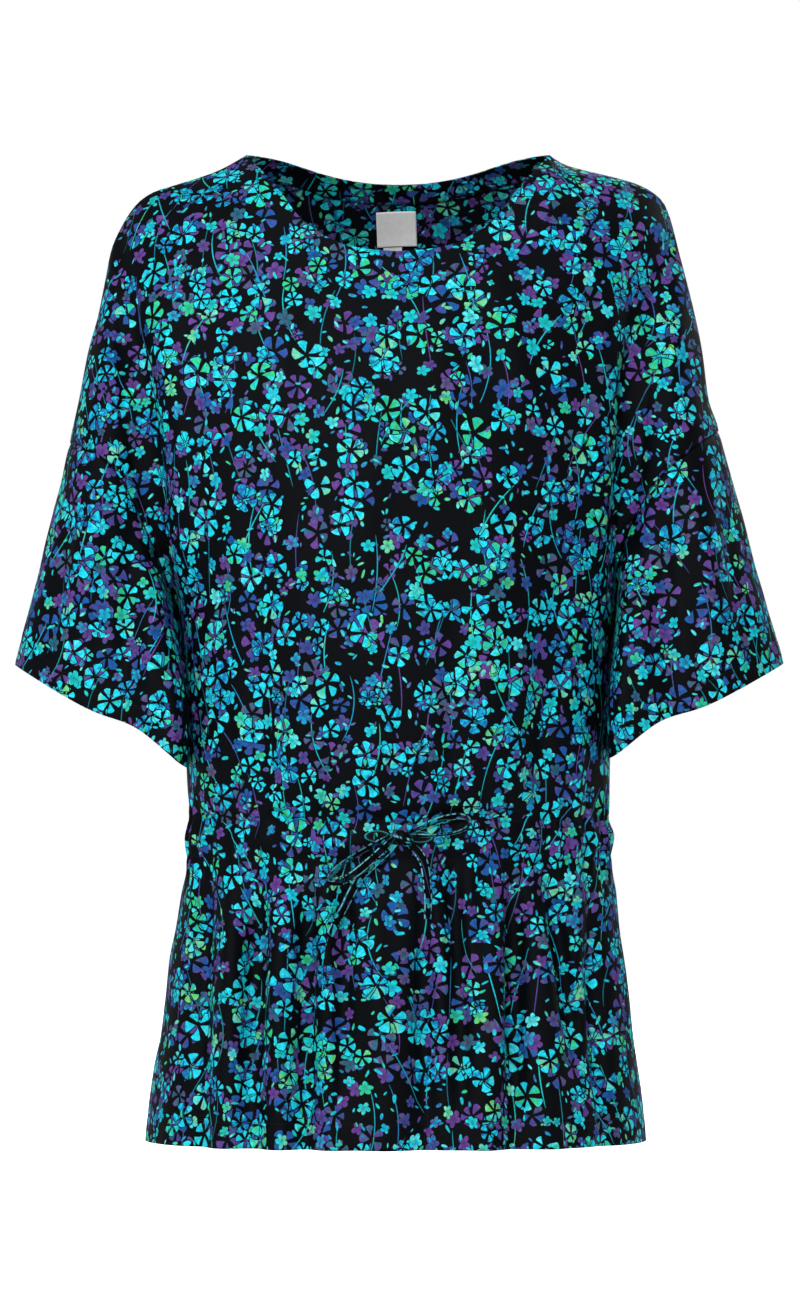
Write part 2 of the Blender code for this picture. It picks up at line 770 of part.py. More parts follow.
def ribbon(name, path, across):
    """A flat band along a path. across gives the direction of its width at each point."""
    points = []
    for k, here in enumerate(path):
        ahead = path[min(k + 1, len(path) - 1)] - path[max(k - 1, 0)]
        ahead = ahead / np.linalg.norm(ahead)
        wide = across[k] - ahead * np.dot(across[k], ahead)
        wide = wide / np.linalg.norm(wide)
        thick = np.cross(ahead, wide)
        for u, v in ((-1, -1), (1, -1), (1, 1), (-1, 1)):
            points.append(here + wide * u * TIE_WIDTH / 2 + thick * v * TIE_WALL / 2)
    faces = [[3, 2, 1, 0]]
    for k in range(len(path) - 1):
        for a in range(4):
            b = (a + 1) % 4
            faces.append([4 * k + a, 4 * k + b, 4 * k + 4 + b, 4 * k + 4 + a])
    last = 4 * (len(path) - 1)
    faces.append([last, last + 1, last + 2, last + 3])
    add_object(name, points, faces, CLOTH_TRIM)


def add_tails(tree):
    """The two free ends of the drawstring, lying down the front."""
    outward = np.array([0.0, -1.0, 0.0])
    for name, table in (("tie_tail_left", LEFT_TAIL), ("tie_tail_right", RIGHT_TAIL)):
        points = [(x, front_cloth_y(tree, x, z) - standoff, z) for x, z, standoff in table[1:]]
        path = spline(points, TAIL_STEPS)
        steps = np.gradient(path, axis=0)
        ribbon(name, path, np.cross(steps, outward))


def add_loops(tree):
    """The two loops of the bow: each goes out from the knot, turns over and comes back."""
    outward = np.array([0.0, -1.0, 0.0])
    for name, x, z, end_x, end_z, standoff, bulge, lean_deg in LOOPS[1:]:
        start = np.array([x, front_cloth_y(tree, x, z) - standoff, z])
        end = np.array([end_x, front_cloth_y(tree, end_x, end_z) - standoff, end_z])
        reach = end - start
        length = np.linalg.norm(reach)
        along = reach / length
        down = np.array([0.0, 0.0, -1.0])
        down = down - along * np.dot(down, along)
        down /= np.linalg.norm(down)
        lean = np.radians(lean_deg)
        opening = np.cos(lean) * outward + np.sin(lean) * down
        s = np.linspace(0, 1, 200)
        out = length * np.sin(np.pi * s)
        aside = -LOOP_THROAT / 2 * np.cos(np.pi * s) - bulge * np.sin(2 * np.pi * s)
        path = walk(start + out[:, None] * along + aside[:, None] * opening, LOOP_STEPS)
        wide = np.cross(along, opening)
        ribbon(name, path, np.tile(wide, (len(path), 1)))


def add_knot(tree):
    """The bow's knot, a rounded lump of folded tie."""
    centre = np.array([KNOT_X, front_cloth_y(tree, KNOT_X, KNOT_Z) - KNOT_STANDOFF, KNOT_Z])
    half = np.array(KNOT_HALF)
    points = [centre + half * (0, 0, 1)]
    for j in range(1, KNOT_ROWS):
        polar = np.pi * j / KNOT_ROWS
        for i in range(KNOT_COLUMNS):
            turn = 2 * np.pi * i / KNOT_COLUMNS
            unit = (np.sin(polar) * np.cos(turn), np.sin(polar) * np.sin(turn), np.cos(polar))
            points.append(centre + half * unit)
    points.append(centre - half * (0, 0, 1))
    faces = []
    for i in range(KNOT_COLUMNS):
        after = (i + 1) % KNOT_COLUMNS
        faces.append([0, 1 + i, 1 + after])
        for j in range(KNOT_ROWS - 2):
            a = 1 + j * KNOT_COLUMNS
            b = a + KNOT_COLUMNS
            faces.append([a + i, b + i, b + after, a + after])
        a = 1 + (KNOT_ROWS - 2) * KNOT_COLUMNS
        faces.append([a + i, len(points) - 1, a + after])
    add_object("tie_knot", points, faces, CLOTH_TRIM)


def main():
    for old in list(bpy.data.objects):
        bpy.data.objects.remove(old)
    garment = build_garment()
    for name, quads in garment.pieces.items():
        cloth_solid(name, garment, quads, 0.0, WALL, CLOTH)
    add_inner_strips(garment)
    add_labels()
    front = cloth_tree("front_body")
    add_knot(front)
    add_loops(front)
    add_tails(front)


main()
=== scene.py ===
"""Looks of the blouse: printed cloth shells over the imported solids, sewing, tie, label and studio.

Cloth is worked out in millimetres in the part's own frame (front towards -Y, +X to the right as
the front is looked at, +Z up) and turned into metres where the meshes are made.
"""

import bpy
import numpy as np
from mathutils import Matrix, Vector, noise
from mathutils.bvhtree import BVHTree


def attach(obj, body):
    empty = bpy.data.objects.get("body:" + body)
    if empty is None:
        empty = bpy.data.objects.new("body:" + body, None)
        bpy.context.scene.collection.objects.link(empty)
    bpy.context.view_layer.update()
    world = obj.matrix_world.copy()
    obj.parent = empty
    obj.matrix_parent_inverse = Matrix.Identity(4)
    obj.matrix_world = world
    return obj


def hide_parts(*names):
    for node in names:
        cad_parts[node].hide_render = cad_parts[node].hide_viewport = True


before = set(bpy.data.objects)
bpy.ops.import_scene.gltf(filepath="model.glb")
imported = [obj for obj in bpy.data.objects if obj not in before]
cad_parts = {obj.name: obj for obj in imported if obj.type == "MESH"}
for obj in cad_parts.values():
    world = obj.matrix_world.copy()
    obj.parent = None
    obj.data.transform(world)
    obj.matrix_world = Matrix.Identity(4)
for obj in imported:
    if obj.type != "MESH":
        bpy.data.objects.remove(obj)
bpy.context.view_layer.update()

MM = 0.001

# Cloth, single and doubled, and the pieces inside it. The channel lies clear of doubled seams
CLOTH_WALL = 0.55
HEM_WALL = 1.15
STRIP_UNDER = 0.95
CHANNEL_UNDER = 1.2
STRIP_WALL = 0.5
LABEL_WALL = 0.35

# Hem, cuff and seam allowances, how softly doubled cloth ends, and the neck's stitch row
HEM_DEEP = 19.0
CUFF_DEEP = 16.0
SEAM_ALLOWANCE = 9.0
DOUBLED_EDGE = 2.5
NECK_STITCH = 5.0

# Relief that the solids leave out. Grooves have a depth and a half width, and crumples a height,
# a size and a step of the seed
SEAM_GROOVE = (0.9, 2.4)
CHANNEL_GROOVE = (0.7, 1.6)
HEM_GROOVE = (0.35, 2.0)
PUCKER_DEPTH = 1.35
PUCKER_REACH = (11.0, 15.0)
BODY_CRUMPLES = ((1.2, 46.0, 0), (0.6, 19.0, 7))
SLEEVE_CRUMPLES = ((1.3, 42.0, 0), (0.6, 17.0, 5))
SEEDS = {"front": 0.0, "back": 31.0, "left": 60.0, "right": 90.0}
PUCKER_SEEDS = {"front": 0.4, "back": 2.1}

# Relief fades out this near the sides and shoulders. SIDE_STEP is a column's width at the sides
SIDE_FADE_COLUMNS = 1.5
SHOULDER_FADE_ROWS = 14.0
SIDE_STEP = 11.0

# Creases are this much taller and wider than their tables say, and fade over a share of their run
CREASE_RISE = 2.3
CREASE_WIDTH = 1.45
CREASE_FADE = 0.35

# Sleeve relief grows over a share of the way down, ends before the hem, and stays clear of the
# inner seam
SLEEVE_GROW = 0.12
SLEEVE_END = 0.05
SLEEVE_SEAM_CLEAR = 0.25

# The hem bends below a height. The cuffs rise near the body, and the sleeves lie closer there
HEM_BEND_TOP_Z = -690.0
SLEEVE_LENGTH = 150.0
CUFF_RISE = 8.0
CUFF_RISE_X = 190.0
CUFF_RISE_WIDE = 25.0
SLEEVE_CLOSE = {"left": 1.3, "right": 0.3}

# Threads of the weave, in metres from one to the next, and the dye that shows on its wrong side
WEAVE_PITCH = 0.00046
LABEL_PITCH = 0.0006
WRONG_SIDE = (0.02, 0.03, 0.04)

# Columns run from the left armhole to the right one. Places along them count the solids' 40
# columns, and each of those is cut into FINE here
COLUMNS = 40
FINE = 4
SHOULDER_COLUMNS = 12
ARMHOLE_ROWS = 84
LOWER_ROWS = 120
SLEEVE_ROWS = 60
PATTERN_STEP = 2
NECK_FIRST = FINE * SHOULDER_COLUMNS
PLACES = np.linspace(0, COLUMNS, FINE * COLUMNS + 1)

# Shape of the body. Roundness is the power of the section's oval, and 2 would be an ellipse
BODY_ROUNDNESS = 2.3
SHOULDER_ROLL = 80.0
UNDERARM_Z = -329.0
ARM_TOP_Z = -55.0
HEM_Z = -728.0
HEM_RISE = 3.0

# How sharply the panel's grid bends to meet the armhole seams
SEAM_BLEND_POWER = 4

# Share of a fold's length over which it rises at its top and fades at its end, and the depth of
# panel at which folds reach full height
FOLD_RISE_SHARE = 0.3
FOLD_FADE_SHARE = 0.15
FOLD_FULL_DEPTH = 60.0

# Waist channel and its gathers. The share is what is left of a gather in the middle
CHANNEL_TOP_Z = -490.0
CHANNEL_LOW_Z = -518.0
GATHER_DEPTH = 2.4
GATHER_REACH = 26.0
GATHER_MIDDLE_SHARE = 0.25
GATHER_UNEVENNESS = 0.25

# Outer line of the shoulder and sleeve, half widths at each height
SHOULDER_LINE = (
    ("z", "left", "right"),
    (0, 112, 112),
    (-7, 124, 123),
    (-12, 134, 141),
    (-17, 148, 162),
    (-22, 164, 178),
    (-28, 182, 189),
    (-36, 193, 197),
    (-52, 204, 203),
    (-70, 212, 207.5),
    (-95, 217, 214),
    (-120, 222, 220),
    (-145, 229, 225),
    (-182, 236, 230),
    (-204, 241, 238),
    (-213, 243.5, 240),
    (-329, 271, 269),
    (-377, 283, 285),
)

# Half width of the body alone. Above the underarm this is the valley between body and arm
BODY_SIDE = (
    ("z", "left", "right"),
    (-55, 205.2, 203.7),
    (-100, 194, 176),
    (-170, 187, 168),
    (-243, 181, 165),
    (-290, 172, 163.5),
    (-329, 163, 162),
    (-345, 161, 160.4),
    (-365, 159.6, 159.4),
    (-400, 158, 158.4),
    (-462, 156, 156.6),
    (-481, 154.7, 156.5),
    (-490, 153.8, 156),
    (-504, 157.6, 159.6),
    (-518, 155.8, 158),
    (-531, 157, 159),
    (-545, 160, 161.5),
    (-572, 164.3, 163.5),
    (-594, 168.7, 167),
    (-622, 171.7, 171),
    (-651, 175.4, 174),
    (-671, 179.8, 177),
    (-703, 184.3, 181.3),
    (-728, 186.5, 183.5),
)

# Depth of the body in front of and behind the side seams
BODY_DEPTH = (
    ("z", "front", "back"),
    (0, 66, 62),
    (-22, 68, 66),
    (-71, 78, 82),
    (-120, 97, 94),
    (-180, 112, 99),
    (-240, 119, 98),
    (-329, 120, 93),
    (-400, 118, 91),
    (-455, 114, 91),
    (-478, 110, 90),
    (-490, 104, 87),
    (-504, 106, 89),
    (-518, 103, 87),
    (-545, 107, 94),
    (-600, 114, 103),
    (-670, 122, 113),
    (-728, 129, 121),
)

# Depth of the cloth over the upper arm and of the valley between arm and body, and how far the
# body's cloth reaches over the valley before the two part
ARM_DEPTH = (
    ("z", "arm", "valley", "reach"),
    (-55, 0, 0, 0),
    (-75, 13, 11, 7),
    (-100, 27, 23, 12),
    (-140, 41, 33, 15),
    (-180, 50, 38, 15),
    (-243, 55, 36, 11),
    (-290, 58, 25, 5),
    (-313, 59, 13, 1.5),
    (-329, 60, 0, 0),
)

# Neck edge, the same on both sides of the middle
NECK_EDGE = (
    ("x", "front", "back"),
    (0, -77, -18.5),
    (16, -76, -18),
    (37, -72.5, -15.5),
    (54, -64.5, -12),
    (72, -50.5, -7),
    (86, -31, -3.4),
    (95, -20, -1.8),
    (104, -9.5, -0.6),
    (112, 0, 0),
)

# Armhole seam in the front view, from the shoulder line round to the underarm
ARMHOLE = (
    ("step", "left_x", "left_z", "right_x", "right_z"),
    (0, 243.5, -213, 238, -204),
    (1, 229, -217.5, 222, -214),
    (2, 215, -226, 207, -226),
    (3, 200.5, -243, 193, -237),
    (4, 183.5, -277, 174, -266),
    (5, 172, -305, 164, -300),
    (6, 163, -329, 162, -329),
)

# Sleeve hem, as its outer and inner ends in the front view, and its half depth. The inner edge
# leans forward and in towards the body, and the sleeve swells a little half way down
SLEEVE_HEM = (
    ("side", "outer_x", "outer_z", "inner_x", "inner_z", "half_depth"),
    ("left", 283, -377, 153.0, -453, 58),
    ("right", 285, -376, 154.0, -446, 58),
)
SLEEVE_FORWARD = 55.0
SLEEVE_INWARD = 3.0
SLEEVE_SWELL = 0.06

# Large soft folds: where each starts and ends, its half width, and its height off the cloth
FRONT_FOLDS = (
    ("x_top", "z_top", "x_low", "z_low", "width", "height"),
    (-139, -520, -147, -760, 10, -5),
    (-121, -525, -127, -760, 11, 6),
    (-100, -515, -107, -760, 9, -6),
    (-83, -530, -87, -760, 11, 6),
    (-66, -525, -67, -760, 8, -7),
    (-47, -545, -48, -760, 13, 5),
    (-39, -530, -41, -650, 7, -3),
    (-6, -560, -10, -760, 16, 6),
    (18, -540, 20, -760, 9, -5),
    (37, -300, 44, -700, 8, -4),
    (62, -540, 64, -760, 12, 6),
    (85, -515, 84, -760, 9, -6),
    (106, -540, 112, -760, 11, 5),
    (104, -510, 131, -650, 8, -5),
    (146, -520, 150, -760, 10, -5),
    (-62, -250, -66, -490, 15, 4),
    (-104, -190, -98, -490, 13, -4),
    (72, -210, 66, -490, 14, 4),
    (112, -240, 103, -490, 12, -4),
    (-20, -100, -26, -330, 18, 3),
    (150, -120, 120, -360, 14, -4),
    (-160, -120, -132, -360, 14, -4),
)
BACK_FOLDS = (
    ("x_top", "z_top", "x_low", "z_low", "width", "height"),
    (-143, -520, -150, -760, 10, -5),
    (-118, -520, -122, -760, 12, 6),
    (-92, -515, -96, -760, 9, -6),
    (-70, -540, -74, -760, 12, 5),
    (-44, -520, -48, -760, 9, -6),
    (-20, -555, -22, -760, 15, 6),
    (10, -515, 6, -760, 9, -7),
    (34, -545, 38, -760, 13, 6),
    (60, -520, 66, -760, 9, -6),
    (86, -530, 92, -760, 12, 6),
    (114, -515, 120, -760, 9, -6),
    (140, -540, 148, -760, 11, 5),
    (-86, -140, -74, -490, 15, 4),
    (-30, -200, -34, -490, 14, -4),
    (24, -120, 30, -490, 15, 4),
    (80, -220, 70, -490, 13, -4),
    (148, -110, 122, -360, 14, -4),
    (-150, -110, -124, -360, 14, -4),
)
SLEEVE_FOLDS = (
    ("around", "width", "height"),
    (0.16, 0.045, 3.0),
    (0.29, 0.040, -3.5),
    (0.41, 0.045, 2.5),
    (0.60, 0.045, 3.0),
    (0.72, 0.040, -3.5),
    (0.86, 0.045, 3.0),
)

# Narrow creases: where each starts and ends, its half width, height and sideways bow
FRONT_CREASES = (
    ("x_top", "z_top", "x_low", "z_low", "width", "height", "bow"),
    (-139, -506, -145, -690, 3.8, -3.0, 0),
    (-121, -500, -125, -700, 4.0, 1.4, 2),
    (-101, -503, -108, -728, 4.6, -4.2, 0),
    (-83, -510, -86, -690, 4.5, 1.2, -2),
    (-66, -503, -67, -728, 3.4, -3.6, 0),
    (-52, -505, -53, -610, 3.0, 1.2, 0),
    (-38, -503, -42, -728, 3.6, -3.4, 1),
    (-12, -520, -16, -680, 5.0, 1.2, -3),
    (18, -508, 20, -728, 3.6, -3.4, 0),
    (37, -503, 44, -728, 3.6, -3.2, 3),
    (50, -508, 53, -600, 3.2, 1.3, 0),
    (70, -505, 72, -700, 4.0, 1.5, 0),
    (85, -500, 84, -728, 3.8, -4.0, 0),
    (103, -498, 134, -700, 4.6, -4.2, 4),
    (120, -505, 146, -610, 4.0, 1.6, 4),
    (136, -504, 148, -728, 3.8, -3.4, 2),
    (-128, -400, -120, -500, 4.5, -1.3, 3),
    (-104, -360, -98, -500, 5.0, -1.5, 2),
    (-80, -420, -78, -502, 4.0, 1.2, 0),
    (-50, -440, -54, -500, 4.0, -1.1, 0),
    (-18, -430, -14, -492, 4.0, 1.0, 0),
    (22, -420, 16, -492, 4.0, -1.1, 0),
    (66, -400, 60, -500, 4.5, -1.2, 0),
    (92, -330, 86, -500, 4.5, 1.3, -2),
    (112, -380, 104, -502, 4.0, -1.6, -3),
    (132, -410, 128, -502, 4.0, 1.3, 0),
    (-202, -82, -170, -330, 6.5, -3.8, 3),
    (-184, -60, -148, -300, 8.0, 1.7, 6),
    (180, -82, 163, -330, 6.5, -3.8, -3),
    (164, -60, 144, -280, 8.0, 1.7, -6),
    (-208, -70, -196, -210, 5.0, -1.6, 3),
    (200, -75, 190, -205, 5.0, -1.6, -3),
    (-60, -70, -92, -210, 9.0, 1.3, -6),
    (58, -70, 96, -220, 9.0, 1.3, 6),
    (-20, -90, -34, -260, 12.0, -0.9, 0),
    (24, -95, 30, -280, 12.0, 0.9, 0),
)
BACK_CREASES = (
    ("x_top", "z_top", "x_low", "z_low", "width", "height", "bow"),
    (-143, -508, -148, -660, 3.5, -1.7, 0),
    (-118, -503, -121, -728, 3.8, 1.5, 2),
    (-92, -503, -95, -728, 3.8, -3.8, 0),
    (-70, -508, -73, -680, 4.2, 1.3, 0),
    (-44, -503, -47, -728, 3.6, -3.4, 0),
    (-20, -512, -22, -700, 5.0, 1.3, 2),
    (10, -503, 7, -728, 3.8, -3.8, 0),
    (34, -510, 37, -690, 4.2, 1.3, 0),
    (60, -503, 65, -728, 3.6, -3.5, 0),
    (86, -505, 91, -700, 3.8, 1.4, 0),
    (114, -503, 121, -728, 4.0, -3.8, 0),
    (140, -508, 146, -680, 3.5, -1.6, 0),
    (-132, -390, -124, -502, 4.5, -1.4, 3),
    (-96, -350, -90, -502, 5.0, -1.5, 2),
    (-62, -410, -60, -500, 4.2, 1.2, 0),
    (-16, -420, -18, -500, 4.2, -1.2, 0),
    (30, -400, 26, -500, 4.5, 1.2, 0),
    (74, -370, 68, -502, 5.0, -1.4, -2),
    (104, -400, 98, -502, 4.2, 1.3, 0),
    (134, -390, 128, -502, 4.5, -1.5, -3),
    (-194, -90, -166, -330, 6.5, -3.2, 8),
    (184, -90, 160, -330, 6.5, -3.2, -8),
    (-150, -80, -120, -300, 8.0, 1.4, 8),
    (150, -80, 118, -300, 8.0, 1.4, -8),
    (-70, -60, -82, -280, 11.0, 1.1, -4),
    (60, -60, 74, -280, 11.0, 1.1, 4),
    (0, -60, -6, -300, 13.0, -1.0, 0),
)
SLEEVE_CREASES = {
    "left": (
        ("x_top", "z_top", "x_low", "z_low", "width", "height", "bow"),
        (-240, -225, -262, -400, 5.0, -1.8, 3),
        (-214, -230, -232, -400, 6.0, 1.7, -4),
        (-196, -250, -204, -420, 5.0, -1.8, 4),
        (-178, -290, -180, -430, 5.0, 1.4, 0),
    ),
    "right": (
        ("x_top", "z_top", "x_low", "z_low", "width", "height", "bow"),
        (238, -220, 262, -400, 5.0, -1.8, -3),
        (212, -230, 232, -400, 6.0, 1.7, 4),
        (194, -250, 204, -415, 5.0, -1.8, -4),
        (176, -290, 180, -425, 5.0, 1.4, 0),
    ),
}

FOLDS = {"front": FRONT_FOLDS, "back": BACK_FOLDS}
CREASES = {"front": FRONT_CREASES, "back": BACK_CREASES, **SLEEVE_CREASES}

# Drawstring. Its back carries its print TIE_BACK further on than its front
TIE_WIDTH = 7.0
TIE_WALL = 1.3
TIE_BACK = 9.0
TIE_SIDES = 20
TAIL_TURN_DEG = (15, 42)
TAIL_LIFT = 2.3
TAIL_STEPS = 60
LOOP_THROAT = 2.6
LOOP_TWIST = 0.30
LOOP_STEPS = 90
LEFT_TAIL = (
    ("x", "z", "standoff"),
    (-1.5, -504.6, 3.4),
    (-8.5, -511.5, 1.6),
    (-18, -520.5, 1.1),
    (-29, -533, 1.1),
    (-39, -552, 1.1),
    (-49, -571, 1.1),
)
RIGHT_TAIL = (
    ("x", "z", "standoff"),
    (9.2, -506.6, 4.4),
    (14.5, -512, 3.0),
    (19, -521, 1.4),
    (20.7, -533, 1.1),
    (21.6, -546, 1.1),
    (21.4, -560, 1.1),
)
LEFT_LOOP = (
    ("x", "z", "end_x", "end_z", "standoff", "bulge", "lean_deg"),
    (-3.2, -500.4, -49, -533, 9.0, 6.4, 46),
)
RIGHT_LOOP = (
    ("x", "z", "end_x", "end_z", "standoff", "bulge", "lean_deg"),
    (8.0, -498.6, 52, -489.5, 8.0, 5.8, 58),
)

# Knot of the bow, with its half width, depth and height, the way its folds lean, and the height
# and closeness of each set of them
KNOT_X = 3.5
KNOT_Z = -501.5
KNOT_TILT_DEG = 33
KNOT_HALF = (9.5, 4.5, 5.2)
KNOT_STANDOFF = 5.0
KNOT_LEAN = (0.82, 0.57)
KNOT_FOLDS = ((0.07, 9.0, 1.4), (0.05, 17.0, -2.0))
KNOT_BAND = (0.10, 0.42)
KNOT_ROWS = 30
KNOT_COLUMNS = 48

# Worked eyelets: where they are, their half width and height, and the rings from middle to rim
EYELETS = (("side", "x", "z"), ("left", -15.0, -500.5), ("right", 16.0, -501.0))
EYELET_HALF = (9.5, 4.2)
EYELET_SIDES = 60
EYELET_BAR = 0.10
EYELET_RINGS = (
    ("reach", "rise", "worked"),
    (0.0, -0.25, 0),
    (0.55, -0.25, 0),
    (0.66, 0.35, 1),
    (0.84, 0.45, 1),
    (1.0, -0.1, 1),
)

# Stitches: points along one, sides of its thread, how it rises and dives into the cloth, and the
# length, gap and thickness of each kind
STITCH_STATIONS = 4
STITCH_SIDES = 6
STITCH_RISE = 0.05
STITCH_DIVE = 0.12
STITCH_AHEAD = 0.2
SEAM_STITCH = (2.3, 0.55, 0.34)
LABEL_STITCH = (1.4, 0.5, 0.22)

# Facing inside the back neck, and the bare label and tab. off is their distance from the back
FACING_FINE_ROWS = 17
LABEL_CELLS = 24
LABEL_TURN_DEG = 2.0
LABELS = (
    ("name", "node", "x", "top_z", "width", "height", "off", "last_row"),
    ("label", "neck_label", -1.5, -36.3, 30.0, 25.0, 1.9, -3),
    ("tab", "size_tab", -4.0, -62.0, 14.0, 10.0, 1.7, 1),
)

# How far the print moves on from one large piece to the next, in metres
PRINT_STEP = 0.73

# Dyes, and the tie's painted edge highlight, as linear red, green and blue
CYAN = (0.008, 0.51, 0.65)
BRIGHT = (0.020, 0.62, 0.77)
SKY = (0.008, 0.27, 0.50)
TURQUOISE = (0.010, 0.47, 0.44)
AQUA = (0.11, 0.70, 0.73)
TEAL = (0.004, 0.12, 0.17)
BLUE = (0.010, 0.085, 0.30)
INDIGO = (0.045, 0.055, 0.24)
PURPLE = (0.110, 0.045, 0.235)
MAUVE = (0.100, 0.075, 0.175)
GREEN = (0.035, 0.50, 0.15)
LIME = (0.24, 0.55, 0.055)
GROUND = (0.0012, 0.0020, 0.0032)
# Painted highlight: pale colour of the broken lines along the tie's folded edges
TIE_HIGHLIGHT = (0.15, 0.50, 0.56)
BLACK_THREAD = (0.006, 0.006, 0.009)
TEAL_THREAD = (0.015, 0.25, 0.30)
WHITE_THREAD = (0.80, 0.80, 0.78)
LABEL_WHITE = (0.93, 0.93, 0.92)

# Each palette ends as it begins, because its value goes round and round
UNDER_COLOURS = (
    (PURPLE, 0.0), (PURPLE, 0.2), (INDIGO, 0.34), (BLUE, 0.46), (BLUE, 0.54),
    (INDIGO, 0.66), (MAUVE, 0.76), (TEAL, 0.86), (PURPLE, 0.97),
)
TOP_COLOURS = (
    (CYAN, 0.0), (BRIGHT, 0.10), (CYAN, 0.22), (SKY, 0.30), (BLUE, 0.36), (SKY, 0.42), (CYAN, 0.50),
    (BRIGHT, 0.58), (CYAN, 0.65), (TURQUOISE, 0.70), (GREEN, 0.75), (GREEN, 0.78), (CYAN, 0.87),
    (AQUA, 0.92), (CYAN, 0.97),
)
SMALL_COLOURS = (
    (CYAN, 0.0), (TURQUOISE, 0.16), (CYAN, 0.26), (SKY, 0.36), (INDIGO, 0.44), (PURPLE, 0.54),
    (SKY, 0.62), (CYAN, 0.70), (GREEN, 0.78), (TURQUOISE, 0.83), (AQUA, 0.90), (CYAN, 0.98),
)
STEM_COLOURS = (
    (TEAL, 0.0), (TURQUOISE, 0.16), (SKY, 0.34), (INDIGO, 0.48), (PURPLE, 0.62), (TEAL, 0.74),
    (CYAN, 0.86), (TEAL, 0.96),
)
FULL_TURN = 6.2832

# Studio, in metres and watts
CAMERA_DISTANCE = 4.0
FRAME_HEIGHT = 0.965
FRAME_MIDDLE = (0.0015, -0.3678)
FLOOR_Z = -0.86
FLOOR_HALF = 30.0
FLOOR_GLOW = 0.75
SURROUND_LOOK = 1.0
SURROUND_LIGHT = 0.30
LIGHT_AIM = (0, 0, -0.36)
LIGHTS = (
    ("name", "place", "size", "watts"),
    ("key", (-0.85, -3.55, 1.0), 0.8, 86),
    ("side", (-2.3, -1.7, 1.2), 0.8, 24),
    ("fill", (2.2, -2.6, 0.3), 2.0, 5),
    ("back_key", (0.85, 3.55, 1.0), 0.8, 82),
    ("back_side", (2.3, 1.7, 1.2), 0.8, 24),
    ("back_fill", (-2.2, 2.6, 0.3), 2.0, 5),
    ("top", (0.0, -0.9, 2.2), 1.2, 20),
)


def column(table, name):
    """One named column of a table as an array."""
    place = table[0].index(name)
    return np.array([row[place] for row in table[1:]], dtype=float)


def smooth(at, stations, values):
    """Read a smooth curve that passes through the values and never overshoots them."""
    order = np.argsort(stations)
    stations = np.asarray(stations, dtype=float)[order]
    values = np.asarray(values, dtype=float)[order]
    step = np.diff(stations)
    slope = np.diff(values) / step
    tangent = np.zeros_like(values)
    tangent[0] = slope[0]
    tangent[-1] = slope[-1]
    same = slope[1:] * slope[:-1] > 0
    inner = tangent[1:-1]
    inner[same] = 2 * (slope[1:] * slope[:-1])[same] / (slope[1:] + slope[:-1])[same]
    at = np.clip(np.asarray(at, dtype=float), stations[0], stations[-1])
    k = np.clip(np.searchsorted(stations, at, side="right") - 1, 0, len(step) - 1)
    t = (at - stations[k]) / step[k]
    rise = values[k] * (1 + 2 * t) * (1 - t) ** 2 + values[k + 1] * t * t * (3 - 2 * t)
    return rise + step[k] * (tangent[k] * t * (1 - t) ** 2 - tangent[k + 1] * t * t * (1 - t))


def read(table, name, at, key="z"):
    """A named column of a table, read smoothly at any height."""
    return smooth(at, column(table, key), column(table, name))


def by_side(table, x, z):
    """A left or right half width, whichever side the place is on."""
    return np.where(np.asarray(x) < 0, read(table, "left", z), read(table, "right", z))


def soft_step(t):
    """Rise smoothly from 0 to 1 as t does."""
    t = np.clip(t, 0, 1)
    return t * t * (3 - 2 * t)


def body_half_width(x, z):
    """Half width of the body, which above the arm's top is the shoulder's own outline."""
    return np.where(z > ARM_TOP_Z, by_side(SHOULDER_LINE, x, z), by_side(BODY_SIDE, x, z))


def shoulder_height(x):
    """Height of the shoulder line over a place in the front view."""
    reach = np.abs(x)
    z = column(SHOULDER_LINE, "z")
    left = smooth(reach, column(SHOULDER_LINE, "left"), z)
    right = smooth(reach, column(SHOULDER_LINE, "right"), z)
    return np.where(np.asarray(x) < 0, left, right)


def panel_depth(x, z, face):
    """Distance of the cloth from the plane of the side seams, at a place in the front view."""
    reach = np.abs(x)
    width = body_half_width(x, z)
    outline = by_side(SHOULDER_LINE, x, z)
    roll = np.clip((shoulder_height(x) - z) / SHOULDER_ROLL, 0, 1)
    roll = np.sqrt(1 - (1 - roll) ** 2)
    overlap = np.where(z < ARM_TOP_Z, read(ARM_DEPTH, "reach", z), 0)
    across = np.clip(reach / (width + overlap), 0, 1) ** BODY_ROUNDNESS
    body = read(BODY_DEPTH, face, z) * (1 - across) ** (1 / BODY_ROUNDNESS) * roll
    half = np.maximum((outline - width) / 2, 0.5)
    over_arm = np.clip(1 - ((reach - width - half) / half) ** 2, 0, 1)
    past_valley = np.clip((reach - width) / (2 * half), 0, 1)
    below_top = z < ARM_TOP_Z
    arm = np.where(below_top, read(ARM_DEPTH, "arm", z) * np.sqrt(over_arm), 0)
    valley = np.where(below_top, read(ARM_DEPTH, "valley", z), 0)
    valley = valley * np.sqrt(1 - past_valley**2) * roll
    return (body**3 + arm**3 + valley**3) ** (1 / 3)


def fold_height(x, z, table):
    """Sum of the soft ridges and troughs of a panel, at a place in the front view."""
    x = np.asarray(x, dtype=float)
    height = np.zeros_like(x)
    for x_top, z_top, x_low, z_low, width, rise in table[1:]:
        along = (z_top - z) / (z_top - z_low)
        line = x_top + (x_low - x_top) * along
        fade = soft_step(along / FOLD_RISE_SHARE) * soft_step((1 - along) / FOLD_FADE_SHARE)
        height = height + rise * fade * np.exp(-(((x - line) / width) ** 2))
    return height


